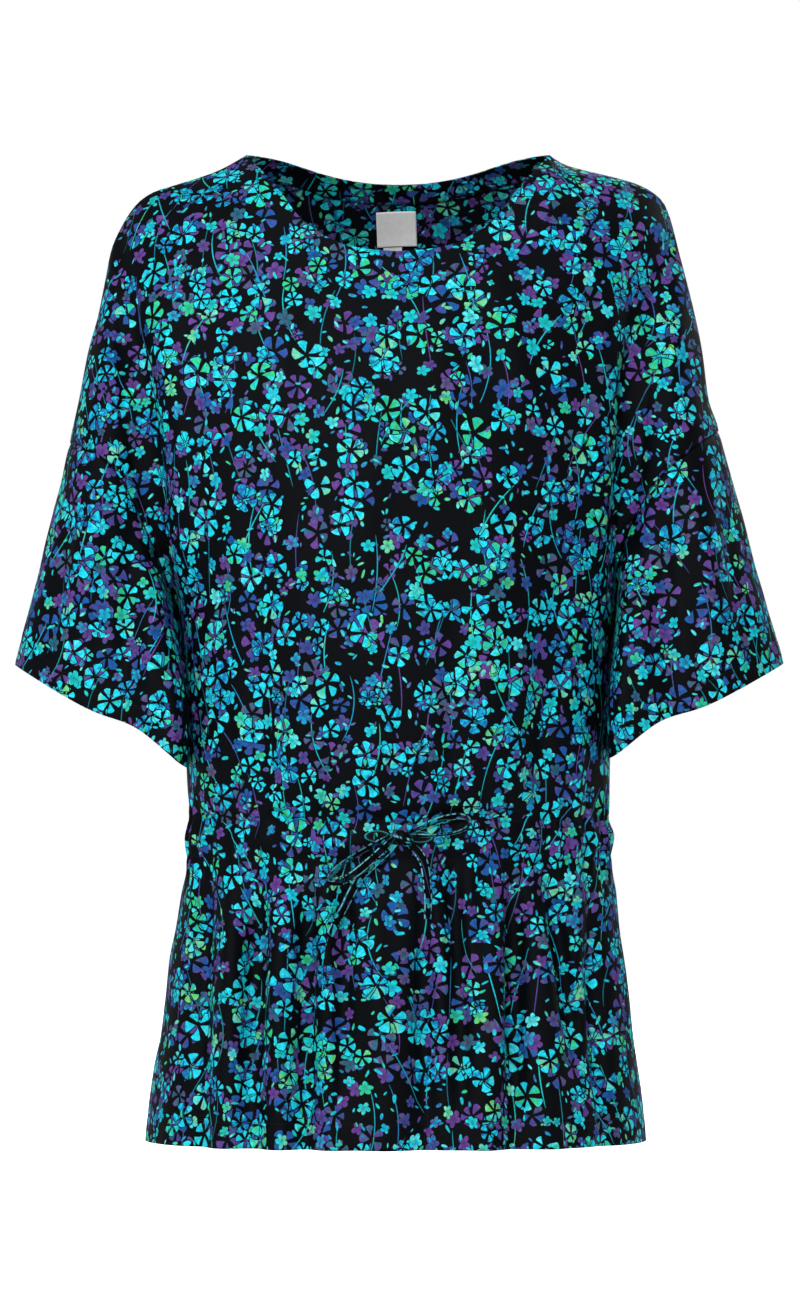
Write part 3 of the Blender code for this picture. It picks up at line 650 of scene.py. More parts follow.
def gather_height(place, z):
    """Puckers along the waist channel, strongest towards the side seams. place counts columns."""
    off_middle = np.abs(2 * place / COLUMNS - 1)
    strength = GATHER_MIDDLE_SHARE + (1 - GATHER_MIDDLE_SHARE) * off_middle
    uneven = 1 - GATHER_UNEVENNESS + GATHER_UNEVENNESS * np.sin(2 * place)
    channel_mid = (CHANNEL_TOP_Z + CHANNEL_LOW_Z) / 2
    near = np.exp(-(((z - channel_mid) / GATHER_REACH) ** 2))
    return GATHER_DEPTH * strength * uneven * near * np.cos(np.pi * place)


def column_angle(place):
    """Angle round the body of a column, from -90 degrees at the left seam to 90 at the right."""
    return np.pi * (np.asarray(place, dtype=float) / COLUMNS - 0.5)


def body_section(place, z, face):
    """A point of the body's wall below the underarm, at a column and a height."""
    place = np.asarray(place, dtype=float)
    angle = column_angle(place)
    power = 2 / BODY_ROUNDNESS
    sine = np.sin(angle)
    cosine = np.clip(np.cos(angle), 0, 1)
    width = body_half_width(sine, z)
    depth = read(BODY_DEPTH, face, z)
    front = -1 if face == "front" else 1
    x = width * np.sign(sine) * np.abs(sine) ** power
    y = front * depth * cosine**power
    normal_x = np.sign(sine) * np.abs(sine) ** (2 - power) / width
    normal_y = front * cosine ** (2 - power) / depth
    length = np.hypot(normal_x, normal_y)
    lift = fold_height(x, z, FOLDS[face]) * np.clip(cosine * 3, 0, 1) + gather_height(place, z)
    lift = lift * soft_step(np.minimum(place, COLUMNS - place))
    x = x + lift * normal_x / length
    y = y + lift * normal_y / length
    return np.stack(np.broadcast_arrays(x, y, z), axis=-1)


def hem_height(place):
    """The hem rides a little higher in the middle than at the side seams."""
    return HEM_Z + HEM_RISE * np.cos(column_angle(place))


def run_of(points):
    """Distance of every point from the start of its curve. Curves may lie side by side."""
    steps = np.linalg.norm(np.diff(points, axis=-2), axis=-1)
    return np.concatenate([np.zeros_like(steps[..., :1]), np.cumsum(steps, axis=-1)], axis=-1)


def between(at, run, values):
    """Points or other rows of values, read between their places along a run."""
    return np.stack([np.interp(at, run, each) for each in values.T], axis=-1)


def unit(vectors):
    """Vectors at a length of 1."""
    return vectors / np.maximum(np.linalg.norm(vectors, axis=-1, keepdims=True), 1e-9)


def walk(points, count):
    """Points spaced evenly along a curve."""
    run = run_of(points)
    return between(np.linspace(0, run[-1], count + 1), run, points)


def with_depth(flat, face):
    """Front-view places with the panel's depth added as a third value."""
    return np.column_stack([flat, panel_depth(flat[:, 0], flat[:, 1], face)])


def armhole_places(side, face):
    """Front-view places of the armhole seam, evenly spaced along the real seam."""
    steps = column(ARMHOLE, "step")
    fine = np.linspace(0, steps[-1], 200)
    x = smooth(fine, steps, column(ARMHOLE, side + "_x")) * (-1 if side == "left" else 1)
    z = smooth(fine, steps, column(ARMHOLE, side + "_z"))
    return walk(with_depth(np.column_stack([x, z]), face), ARMHOLE_ROWS)[:, :2]


def shoulder_places(side):
    """Front-view places of the shoulder seam, from the armhole to the neck."""
    end = column(ARMHOLE, side + "_z")[0]
    fine = end * (1 - np.linspace(0, 1, 400)) ** 2
    x = read(SHOULDER_LINE, side, fine) * (-1 if side == "left" else 1)
    return walk(np.column_stack([x, fine]), NECK_FIRST)


def neck_places(face):
    """Front-view places of the neck edge, from its left end to its right end."""
    end = column(NECK_EDGE, "x")[-1]
    x = end * np.sin(np.linspace(-np.pi / 2, np.pi / 2, 400))
    z = read(NECK_EDGE, face, np.abs(x), key="x")
    count = FINE * (COLUMNS - 2 * SHOULDER_COLUMNS)
    return walk(with_depth(np.column_stack([x, z]), face), count)[:, :2]


def upper_places(face):
    """Front-view grid of a panel from its shoulder and neck edge to the underarm."""
    left_shoulder = shoulder_places("left")
    right_shoulder = shoulder_places("right")[::-1]
    top = np.vstack([left_shoulder[:-1], neck_places(face), right_shoulder[1:]])
    low = body_section(PLACES, UNDERARM_Z, face)[:, [0, 2]]
    left = armhole_places("left", face)
    right = armhole_places("right", face)
    across = (PLACES / COLUMNS)[:, None]
    near_left = (1 - across) ** SEAM_BLEND_POWER
    near_right = across**SEAM_BLEND_POWER
    grid = np.zeros((len(PLACES), ARMHOLE_ROWS + 1, 2))
    for row in range(ARMHOLE_ROWS + 1):
        drop = 1 - np.cos(row / ARMHOLE_ROWS * np.pi / 2)
        line = (1 - drop) * top + drop * low
        grid[:, row] = line + near_left * (left[row] - line[0]) + near_right * (right[row] - line[-1])
    return grid


def sleeve_ring(armhole, side, down):
    """One ring of a sleeve, between the armhole seam at 0 and the sleeve hem at 1."""
    row = next(r for r in SLEEVE_HEM[1:] if r[0] == side)
    outer = np.array(row[1:3])
    inner = np.array(row[3:5])
    sign = -1 if side == "left" else 1
    count = 2 * ARMHOLE_ROWS
    around = np.arange(count) / count
    angle = around * 2 * np.pi
    flat = outer + (inner - outer) * ((1 - np.cos(angle)) / 2)[:, None]
    power = 2 / BODY_ROUNDNESS
    depth = -row[5] * np.sign(np.sin(angle)) * np.abs(np.sin(angle)) ** power
    hem = np.column_stack([sign * flat[:, 0], depth, flat[:, 1]])
    ring = (1 - down) * armhole + down * hem
    ring[:, 1] *= 1 + SLEEVE_SWELL * np.sin(np.pi * down)
    toward_body = (1 - np.cos(angle)) / 2
    ring[:, 1] -= SLEEVE_FORWARD * (1 - (1 - down) ** 3) * toward_body**3
    ring[:, 0] -= sign * SLEEVE_INWARD * np.sin(np.pi * down**2) * toward_body**6
    outward = np.where(depth < 0, -1, 1) * np.clip(2 * np.abs(np.sin(angle)), 0, 1)
    for centre, width, height in SLEEVE_FOLDS[1:]:
        lift = height * soft_step(1.6 * down) * np.exp(-(((around - centre) / width) ** 2))
        ring[:, 1] += lift * outward
    return ring


class Sheet:
    """A grid of cloth points with its normals and its flat pattern places in metres."""

    def __init__(self, points, closed=False, flip=False):
        self.points = points
        self.closed = closed
        self.flip = flip
        self.set_normals()

    def set_normals(self):
        """Outward normals, worked out from the neighbours in both directions."""
        p = self.points
        if self.closed:
            around = np.concatenate([p[-2:-1], p, p[1:2]])
            step_i = around[2:] - around[:-2]
        else:
            step_i = np.gradient(p, axis=0)
        normals = np.cross(np.gradient(p, axis=1), step_i)
        self.normals = unit(-normals if self.flip else normals)

    def lift(self, height):
        """Move every point along its normal."""
        self.points = self.points + self.normals * height[..., None]
        self.set_normals()

    def flatten(self):
        """Lay the cloth out flat, by way of every PATTERN_STEP-th row and column of its grid."""
        fine_i, fine_j = (np.arange(size) for size in self.points.shape[:2])
        rows_i, rows_j = fine_i[::PATTERN_STEP], fine_j[::PATTERN_STEP]
        flat = lay_out(self.points[np.ix_(rows_i, rows_j)] * MM)
        flat = [between(fine_i, rows_i, flat[:, j]) for j in range(len(rows_j))]
        self.flat = np.stack([between(fine_j, rows_j, row) for row in np.stack(flat, axis=1)])

    def area(self):
        """Area of the cloth in square metres."""
        p = self.points * MM
        across = np.cross(p[1:, 1:] - p[:-1, :-1], p[1:, :-1] - p[:-1, 1:])
        return float(np.linalg.norm(across, axis=2).sum() / 2)

    def from_low_edge(self):
        """Distance of every point from the sheet's low edge, along its column."""
        return run_of(self.points[:, ::-1])[:, ::-1]


def grid_faces(count_i, count_j):
    """Corner numbers of the quads of a grid, as one array."""
    numbers = np.arange(count_i * count_j).reshape(count_i, count_j)
    corners = (numbers[:-1, :-1], numbers[:-1, 1:], numbers[1:, 1:], numbers[1:, :-1])
    return np.stack(corners, axis=-1).reshape(-1, 4)


def ring_faces(rings, sides):
    """Corner numbers of the quads that join rings of points, each to the next."""
    a = np.arange((rings - 1) * sides).reshape(rings - 1, sides)
    b = np.roll(a, -1, axis=1)
    return np.stack([a, b, b + sides, a + sides], axis=-1).reshape(-1, 4)


def lay_out(points):
    """Flat places of a grid of points in metres, at true size and with its columns upright."""
    count_i, count_j = points.shape[:2]
    mesh = bpy.data.meshes.new("pattern")
    mesh.from_pydata(points.reshape(-1, 3).tolist(), [], grid_faces(count_i, count_j).tolist())
    mesh.uv_layers.new(name="flat")
    made = add_object("pattern", mesh)
    bpy.context.view_layer.objects.active = made
    made.select_set(True)
    bpy.ops.object.mode_set(mode="EDIT")
    bpy.ops.mesh.select_all(action="SELECT")
    bpy.ops.uv.unwrap(method="MINIMUM_STRETCH", margin=0, iterations=12)
    bpy.ops.object.mode_set(mode="OBJECT")
    places = np.zeros(len(mesh.loops) * 2)
    mesh.uv_layers["flat"].uv.foreach_get("vector", places)
    corners = np.zeros(len(mesh.loops), dtype=int)
    mesh.loops.foreach_get("vertex_index", corners)
    flat = np.zeros((count_i * count_j, 2))
    flat[corners] = places.reshape(-1, 2)
    bpy.data.objects.remove(made)
    bpy.data.meshes.remove(mesh)
    flat = flat.reshape(count_i, count_j, 2)
    middle = count_i // 2
    up = flat[middle, 0] - flat[middle, -1]
    turn = np.arctan2(up[0], up[1])
    spin = np.array([[np.cos(turn), np.sin(turn)], [-np.sin(turn), np.cos(turn)]])
    flat = (flat - flat[middle, -1]) @ spin
    if flat[-1, -1, 0] < flat[0, -1, 0]:
        flat[..., 0] *= -1
    real, drawn = (
        sum(np.linalg.norm(np.diff(grid, axis=axis), axis=2).sum() for axis in (1, 0))
        for grid in (points, flat)
    )
    return flat * real / drawn


def add_object(name, data):
    """A new object in the scene."""
    made = bpy.data.objects.new(name, data)
    bpy.context.scene.collection.objects.link(made)
    return made


def make_mesh(name, points, faces, flat, materials, material_of=None):
    """An object from points in millimetres. flat holds a pattern place for each face corner."""
    mesh = bpy.data.meshes.new(name)
    sizes = np.array([len(f) for f in faces])
    corners = np.concatenate([np.asarray(f) for f in faces])
    mesh.vertices.add(len(points))
    mesh.vertices.foreach_set("co", (np.asarray(points, dtype=float) * MM).ravel())
    mesh.loops.add(len(corners))
    mesh.loops.foreach_set("vertex_index", corners.astype(np.int32))
    mesh.polygons.add(len(sizes))
    starts = np.concatenate([[0], np.cumsum(sizes)[:-1]])
    mesh.polygons.foreach_set("loop_start", starts.astype(np.int32))
    for made in materials:
        mesh.materials.append(made)
    if material_of is not None:
        mesh.polygons.foreach_set("material_index", np.asarray(material_of, dtype=np.int32))
    if flat is not None:
        layer = mesh.uv_layers.new(name="cloth")
        layer.uv.foreach_set("vector", np.asarray(flat, dtype=float).ravel())
    mesh.update(calc_edges=True)
    mesh.validate()
    mesh.shade_smooth()
    return add_object(name, mesh)


def shell(name, sheet, thickness, materials, under=0.0):
    """A closed shell that lies `under` below a sheet. It is `thickness` deep, all over or by point."""
    outer = sheet.points - sheet.normals * under
    thickness = np.broadcast_to(thickness, outer.shape[:2])
    inner = outer - sheet.normals * thickness[..., None]
    grid = np.arange(thickness.size).reshape(thickness.shape)
    quads = grid_faces(*grid.shape)
    if sheet.flip:
        quads = quads[:, ::-1]
    corners = np.concatenate([quads, quads[:, ::-1]])
    deep = np.repeat([0, 1], len(quads))[:, None] * np.ones(4, dtype=int)
    if sheet.closed:
        rims = [grid[:, 0], grid[:, -1][::-1]]
    else:
        rims = [np.concatenate([grid[:, 0], grid[-1, 1:], grid[:-1, -1][::-1], grid[0, :-1][::-1]])]
    for rim in rims:
        rim = rim[::-1] if sheet.flip else rim
        a, b = rim[:-1], rim[1:]
        corners = np.concatenate([corners, np.stack([b, a, a, b], axis=1)])
        deep = np.concatenate([deep, np.tile([1, 1, 0, 0], (len(a), 1))])
    columns = len(outer) - 1 if sheet.closed else len(outer)
    count = columns * outer.shape[1]
    faces = corners % count + deep * count
    points = np.vstack([outer[:columns].reshape(-1, 3), inner[:columns].reshape(-1, 3)])
    sides = np.arange(len(faces)) // len(quads) == 1
    return make_mesh(name, points, faces, sheet.flat.reshape(-1, 2)[corners], materials, sides)


def upper_panel(face):
    """Upper part of a body panel, from the shoulder and neck down to the underarm."""
    places = upper_places(face)
    x = places[..., 0]
    z = places[..., 1]
    depth = panel_depth(x, z, face)
    depth = depth + fold_height(x, z, FOLDS[face]) * np.clip(depth / FOLD_FULL_DEPTH, 0, 1)
    on_shoulder = np.minimum(PLACES, COLUMNS - PLACES) <= SHOULDER_COLUMNS
    depth[on_shoulder, 0] = 0
    points = np.stack([x, depth * (-1 if face == "front" else 1), z], axis=-1)
    points[:, -1] = body_section(PLACES, UNDERARM_Z, face)
    return points


def lower_panel(face):
    """Body panel from the underarm to the hem, whose height bends as the hem does."""
    rows = []
    for z in np.linspace(UNDERARM_Z, HEM_Z, LOWER_ROWS + 1):
        row = body_section(PLACES, z, face)
        bend = soft_step((HEM_BEND_TOP_Z - z) / (HEM_BEND_TOP_Z - HEM_Z))
        row[:, 2] = z + bend * (hem_height(PLACES) - HEM_Z)
        rows.append(row)
    return np.stack(rows, axis=1)


def crumple(points, layers, seed):
    """Smooth noise, as layers with a height, a size in millimetres and a step of the seed."""
    height = 0
    for tall, size, step in layers:
        flat = points.reshape(-1, 3) / size
        values = [noise.noise(Vector((p[0] + seed + step, p[1], p[2] * 0.6))) for p in flat]
        height = height + tall * np.array(values).reshape(points.shape[:-1])
    return height


def crease_height(points, table):
    """Narrow creases in the front view, each fading out at both ends."""
    x = points[..., 0]
    z = points[..., 2]
    height = np.zeros_like(x)
    for x_top, z_top, x_low, z_low, width, rise, bow in table[1:]:
        along = (z_top - z) / (z_top - z_low)
        inside = np.clip(along, 0, 1)
        line = x_top + (x_low - x_top) * along + bow * 4 * inside * (1 - inside)
        fade = soft_step(along / CREASE_FADE) * soft_step((1 - along) / CREASE_FADE)
        off = (x - line) / (CREASE_WIDTH * width)
        height = height + CREASE_RISE * rise * fade * np.exp(-(off**2))
    return height


def pucker_height(place, z, seed):
    """Small uneven puckers that run into the channel's two stitch rows from above and below."""
    off_middle = np.abs(2 * place / COLUMNS - 1)
    strength = 0.3 + 0.7 * off_middle**1.4
    wander = 0.9 * np.sin(0.9 * place + seed) + 0.5 * np.sin(2.3 * place + 2 * seed)
    fine = np.cos(2 * np.pi * 0.83 * place + wander) + 0.6 * np.cos(2 * np.pi * 1.37 * place - seed)
    near_top = np.exp(-(((z - CHANNEL_TOP_Z) / PUCKER_REACH[0]) ** 2))
    near_low = np.exp(-(((z - CHANNEL_LOW_Z) / PUCKER_REACH[1]) ** 2))
    return PUCKER_DEPTH * strength * fine * np.maximum(near_top, near_low)


def groove(distance, depth, width):
    """A groove along a line of stitches or a seam."""
    return -depth * np.exp(-((distance / width) ** 2))


def body_sheet(face):
    """One body panel, front or back, with all its folds, gathers, seams and stitch grooves."""
    points = np.concatenate([upper_panel(face)[:, :-1], lower_panel(face)], axis=1)
    sheet = Sheet(points, flip=face == "back")
    place = np.broadcast_to(PLACES[:, None], points.shape[:2])
    from_side = np.minimum(place, COLUMNS - place)
    z = points[..., 2]
    row = np.broadcast_to(np.arange(points.shape[1]), points.shape[:2])
    inner = soft_step(from_side / SIDE_FADE_COLUMNS)
    height = crease_height(points, CREASES[face]) + crumple(points, BODY_CRUMPLES, SEEDS[face])
    height = height * inner * soft_step(row / SHOULDER_FADE_ROWS)
    height += np.where(row >= ARMHOLE_ROWS, pucker_height(place, z, PUCKER_SEEDS[face]), 0) * inner
    height += groove(z - CHANNEL_TOP_Z, *CHANNEL_GROOVE) + groove(z - CHANNEL_LOW_Z, *CHANNEL_GROOVE)
    height += groove(z - (hem_height(place) + HEM_DEEP), *HEM_GROOVE)
    sheet.lift(height)
    sheet.lift(groove(from_side * SIDE_STEP, *SEAM_GROOVE))
    sheet.flatten()
    return sheet


def sleeve_sheet(front, back, side):
    """A sleeve as a tube from the armhole seam to its hem, starting at the underarm."""
    end = 0 if side == "left" else -1
    ring = np.concatenate(
        [front.points[end, : ARMHOLE_ROWS + 1], back.points[end, 1:ARMHOLE_ROWS][::-1]]
    )
    downs = np.linspace(0, 1, SLEEVE_ROWS + 1)
    points = np.stack([sleeve_ring(ring, side, down) for down in downs], axis=1)
    points = np.roll(points, -ARMHOLE_ROWS, axis=0)
    points = np.concatenate([points, points[:1]])
    down = np.broadcast_to(downs, points.shape[:2])
    off = (np.abs(points[..., 0]) - CUFF_RISE_X) / CUFF_RISE_WIDE
    points[..., 2] += CUFF_RISE * down**2 * np.exp(-(off**2))
    sheet = Sheet(points, closed=True, flip=side == "right")
    clear = soft_step(down / SLEEVE_GROW) * soft_step((1 - down) / SLEEVE_END + 0.3)
    around = np.abs(np.linspace(-1, 1, points.shape[0]))[:, None]
    off_inner = soft_step((1 - around) / SLEEVE_SEAM_CLEAR)
    height = crumple(points, SLEEVE_CRUMPLES, SEEDS[side]) + crease_height(points, CREASES[side])
    close = SLEEVE_CLOSE[side] * (1 - off_inner) * soft_step(down / 0.2)
    sheet.lift(height * clear * off_inner + close * soft_step((0.95 - down) / 0.4))
    height = groove(down * SLEEVE_LENGTH, *SEAM_GROOVE)
    sheet.lift(height + groove((1 - down) * SLEEVE_LENGTH - CUFF_DEEP, *HEM_GROOVE))
    sheet.points[-1] = sheet.points[0]
    sheet.set_normals()
    sheet.flatten()
    return sheet


def part_of(sheet, columns, rows):
    """A smaller sheet cut from a sheet's grid."""
    cut = Sheet(sheet.points[columns, rows].copy(), flip=sheet.flip)
    cut.normals = sheet.normals[columns, rows].copy()
    cut.flat = sheet.flat[columns, rows].copy()
    return cut


def cloth_depth(sheet):
    """How deep the cloth is at each point: doubled at the turned-up hem and pressed-open seams."""
    run = sheet.from_low_edge()
    if sheet.closed:
        from_hem, from_seam = CUFF_DEEP - run, SEAM_ALLOWANCE - run[:, :1] + run
    else:
        from_side = np.minimum(PLACES, COLUMNS - PLACES)[:, None] * SIDE_STEP
        from_hem, from_seam = HEM_DEEP - run, SEAM_ALLOWANCE - from_side
    doubled = np.maximum(
        soft_step(from_hem / DOUBLED_EDGE + 0.5), soft_step(from_seam / DOUBLED_EDGE + 0.5)
    )
    return CLOTH_WALL + (HEM_WALL - CLOTH_WALL) * doubled


class Value:
    """A shader socket that takes plain arithmetic."""

    def __init__(self, graph, socket):
        self.graph = graph
        self.socket = socket

    def __add__(self, other):
        return self.graph.math("ADD", self, other)

    def __sub__(self, other):
        return self.graph.math("SUBTRACT", self, other)

    def __rsub__(self, other):
        return self.graph.math("SUBTRACT", other, self)

    def __mul__(self, other):
        return self.graph.math("MULTIPLY", self, other)

    def __truediv__(self, other):
        return self.graph.math("DIVIDE", self, other)

    def __rtruediv__(self, other):
        return self.graph.math("DIVIDE", other, self)

    __radd__ = __add__
    __rmul__ = __mul__


class Graph:
    """Short ways to add shader nodes. Inputs may be values, sockets or plain numbers."""

    def __init__(self, tree):
        self.tree = tree

    def put(self, value, socket):
        """Link a value to an input, or set the input to a plain one."""
        value = getattr(value, "socket", value)
        if isinstance(value, bpy.types.NodeSocket):
            self.tree.links.new(value, socket)
        else:
            socket.default_value = value

    def node(self, kind, inputs, **settings):
        """A new node, with values for its inputs in order or by name or number."""
        made = self.tree.nodes.new(kind)
        for name, value in settings.items():
            setattr(made, name, value)
        for place, value in inputs.items() if isinstance(inputs, dict) else enumerate(inputs):
            self.put(value, made.inputs[place])
        return made

    def value(self, kind, inputs=(), output=0, **settings):
        """One output of a new node."""
        return Value(self, self.node(kind, inputs, **settings).outputs[output])

    def math(self, operation, *inputs, clamp=False):
        return self.value("ShaderNodeMath", inputs, operation=operation, use_clamp=clamp)

    def ramp(self, value, low, high):
        """0 below low, 1 above high and straight between them."""
        return self.math("MULTIPLY_ADD", value, 1 / (high - low), -low / (high - low), clamp=True)

    def vector(self, operation, *inputs):
        return self.value("ShaderNodeVectorMath", inputs, operation=operation)

    def join(self, x, y, z=0.0):
        return self.value("ShaderNodeCombineXYZ", (x, y, z))

    def split(self, value, kind="ShaderNodeSeparateXYZ"):
        """The three parts of a place, or of a colour."""
        return [Value(self, output) for output in self.node(kind, (value,)).outputs]

    def split_colour(self, value):
        return self.split(value, "ShaderNodeSeparateColor")

    def scale(self, colour, factor):
        """A colour made lighter or darker."""
        return self.value("ShaderNodeVectorMath", {0: colour, "Scale": factor}, operation="SCALE")

    def mix(self, share, a, b):
        """Colour a where share is 0 and colour b where it is 1."""
        return self.value("ShaderNodeMix", {0: share, 6: a, 7: b}, 2, data_type="RGBA")

    def noise(self, at, scale, detail=1.0, output="Fac"):
        """Smooth plane noise, about 0.2 to 0.8. scale is one over the size of its blotches."""
        inputs = {"Vector": at, "Scale": scale, "Detail": detail}
        return self.value("ShaderNodeTexNoise", inputs, output, noise_dimensions="2D")

    def palette(self, value, colours):
        """Colours that run into each other as value goes from 0 to 1, and end as they begin."""
        made = self.node("ShaderNodeValToRGB", (value,))
        ramp = made.color_ramp
        ramp.interpolation = "LINEAR"
        for k, (colour, at) in enumerate(colours):
            stop = ramp.elements[0] if k == 0 else ramp.elements.new(at)
            stop.position = at
            stop.color = (*colour, 1)
        ramp.elements[-1].color = (*colours[0][0], 1)
        return Value(self, made.outputs[0])


def cell(g, at, spacing, shift, loose=0.8, free=True):
    """The nearest motif of a layer: millimetres from its centre, its free radius and three lots."""
    moved = g.vector("ADD", at, (shift, shift * 0.7, 0.0))
    scaled = g.vector("DIVIDE", moved, (spacing, spacing, 1.0))
    inputs = {"Vector": scaled, "Scale": 1.0, "Randomness": loose}
    kind = ("ShaderNodeTexVoronoi", inputs)
    near = g.node(*kind, voronoi_dimensions="2D", feature="F1")
    radius = None
    if free:
        radius = g.value(*kind, "Radius", voronoi_dimensions="2D", feature="N_SPHERE_RADIUS") * spacing
    offset = g.vector("SUBTRACT", scaled, near.outputs["Position"])
    x, y, _ = g.split(g.vector("MULTIPLY", offset, (spacing, spacing, 0.0)))
    return x, y, radius, *g.split_colour(near.outputs["Color"])


def edge(g, distance, soft=0.13):
    """1 inside a shape and 0 outside it, from the distance in millimetres to its edge."""
    return g.math("MULTIPLY_ADD", distance, 0.5 / soft, 0.5, clamp=True)


def pinwheel(g, at, wash, spacing, shift, largest, share, colours, tint):
    """Flowers of five or six separate wedge petals, as a colour, a shape and where it is."""
    x, y, free, first, second, third = cell(g, at, spacing, shift)
    radius = g.math("MINIMUM", (second * 0.28 + 0.80) * largest, free * 1.06)
    reach = g.math("SQRT", x * x + y * y) / radius
    turn = g.math("ARCTAN2", y, x) + first * FULL_TURN
    petals = g.math("GREATER_THAN", third, share * 0.80) + 5.0
    wedge = turn * (petals / FULL_TURN)
    number = g.math("FLOOR", wedge)
    which = g.math("FLOORED_MODULO", number, petals)
    lots = {"Vector": g.join(first * 97.0, which, third * 41.0)}
    lots = g.node("ShaderNodeTexWhiteNoise", lots, noise_dimensions="3D").outputs["Color"]
    size_lot, turn_lot, loss_lot = g.split_colour(lots)
    angle = (wedge - number - 0.5 + (turn_lot - 0.5) * 0.05) * (FULL_TURN / petals)
    along = reach * g.math("COSINE", angle)
    aside = g.math("ABSOLUTE", reach * g.math("SINE", angle))
    spread = (along - 0.19) * (2.72 / petals) - aside
    crown = size_lot * 0.16 + 0.86 - aside * aside * 1.15 - along
    shape = g.math("SMOOTH_MIN", spread, crown * 0.9, 0.10) * radius
    there = g.math("LESS_THAN", third, share) * g.math("GREATER_THAN", radius, 3.2)
    there = there * g.math("GREATER_THAN", loss_lot, 0.05)
    drift = (turn_lot - 0.5) * tint + wash * 0.55
    colour = g.palette(g.math("FRACT", second * 7.31 + drift), colours)
    return g.scale(colour, size_lot * 0.20 + along * 0.26 + 0.74), shape, there


def blossom(g, at, wash, spacing, shift, largest, share, colours):
    """Small solid flowers with round lobes, as a colour, a shape and where it is."""
    x, y, free, first, second, third = cell(g, at, spacing, shift, 0.85)
    radius = g.math("MINIMUM", (second * 0.42 + 0.72) * largest, free * 1.02)
    from_middle = g.math("SQRT", x * x + y * y)
    turn = g.math("ARCTAN2", y, x) + first * FULL_TURN
    lobes = g.math("GREATER_THAN", second, 0.25) * 0.5 + 2.0
    lobe = g.math("ABSOLUTE", g.math("COSINE", turn * lobes))
    shape = radius * (g.math("POWER", lobe, 0.62) * 0.62 + 0.36) - from_middle
    there = g.math("LESS_THAN", third, share) * g.math("GREATER_THAN", radius, 1.2)
    pick = g.math("FRACT", second * 5.7 + (first + wash * 0.30))
    eye = g.ramp(from_middle, 0.5, 3.2) * 0.40 + 0.62
    return g.scale(g.palette(pick, colours), eye), shape, there


def petal(g, at, wash, spacing, shift, length, share, colours):
    """Loose single petals and small leaves, as a colour, a shape and where it is."""
    x, y, _, first, second, third = cell(g, at, spacing, shift, 1.0, False)
    turn = first * FULL_TURN
    cosine = g.math("COSINE", turn)
    sine = g.math("SINE", turn)
    half = (second * 0.5 + 0.6) * length
    narrow = (third * 0.3 + 0.34) * half
    along = g.math("POWER", (x * cosine + y * sine) / half, 2.0)
    aside = g.math("POWER", (y * cosine - x * sine) / narrow, 2.0)
    shape = (1.0 - g.math("SQRT", along + aside)) * narrow
    pick = g.math("FRACT", second * 9.1 + (first + wash * 0.3))
    return g.palette(pick, colours), shape, g.math("LESS_THAN", third, share)


def stem(g, at, shift, wide, high, share, thick, lean, colours):
    """Thin bowed stems that run roughly along the cloth, as a colour, a shape and where it is."""
    stretched = g.vector("MULTIPLY", at, (1.0 / wide, 1.0 / high, 0.0))
    x, y, _, first, second, third = cell(g, stretched, 1.0, shift, 0.8, False)
    x = x * wide
    y = y * high
    slope = (first - 0.5) * lean
    bow = (second - 0.5) * 0.022
    line = y * slope + y * y * bow
    steep = slope + y * bow * 2.0
    aside = g.math("ABSOLUTE", x - line) / g.math("SQRT", steep * steep + 1.0)
    end = (third * 0.20 + 0.24) * high
    taper = g.math("SUBTRACT", 1.0, g.math("POWER", y / end, 2.0), clamp=True)
    shape = g.math("SQRT", taper) * thick - aside
    there = g.math("LESS_THAN", third, share) * g.math("GREATER_THAN", taper, 0.002)
    return g.palette(g.math("FRACT", first * 3.3 + second), colours), shape, there


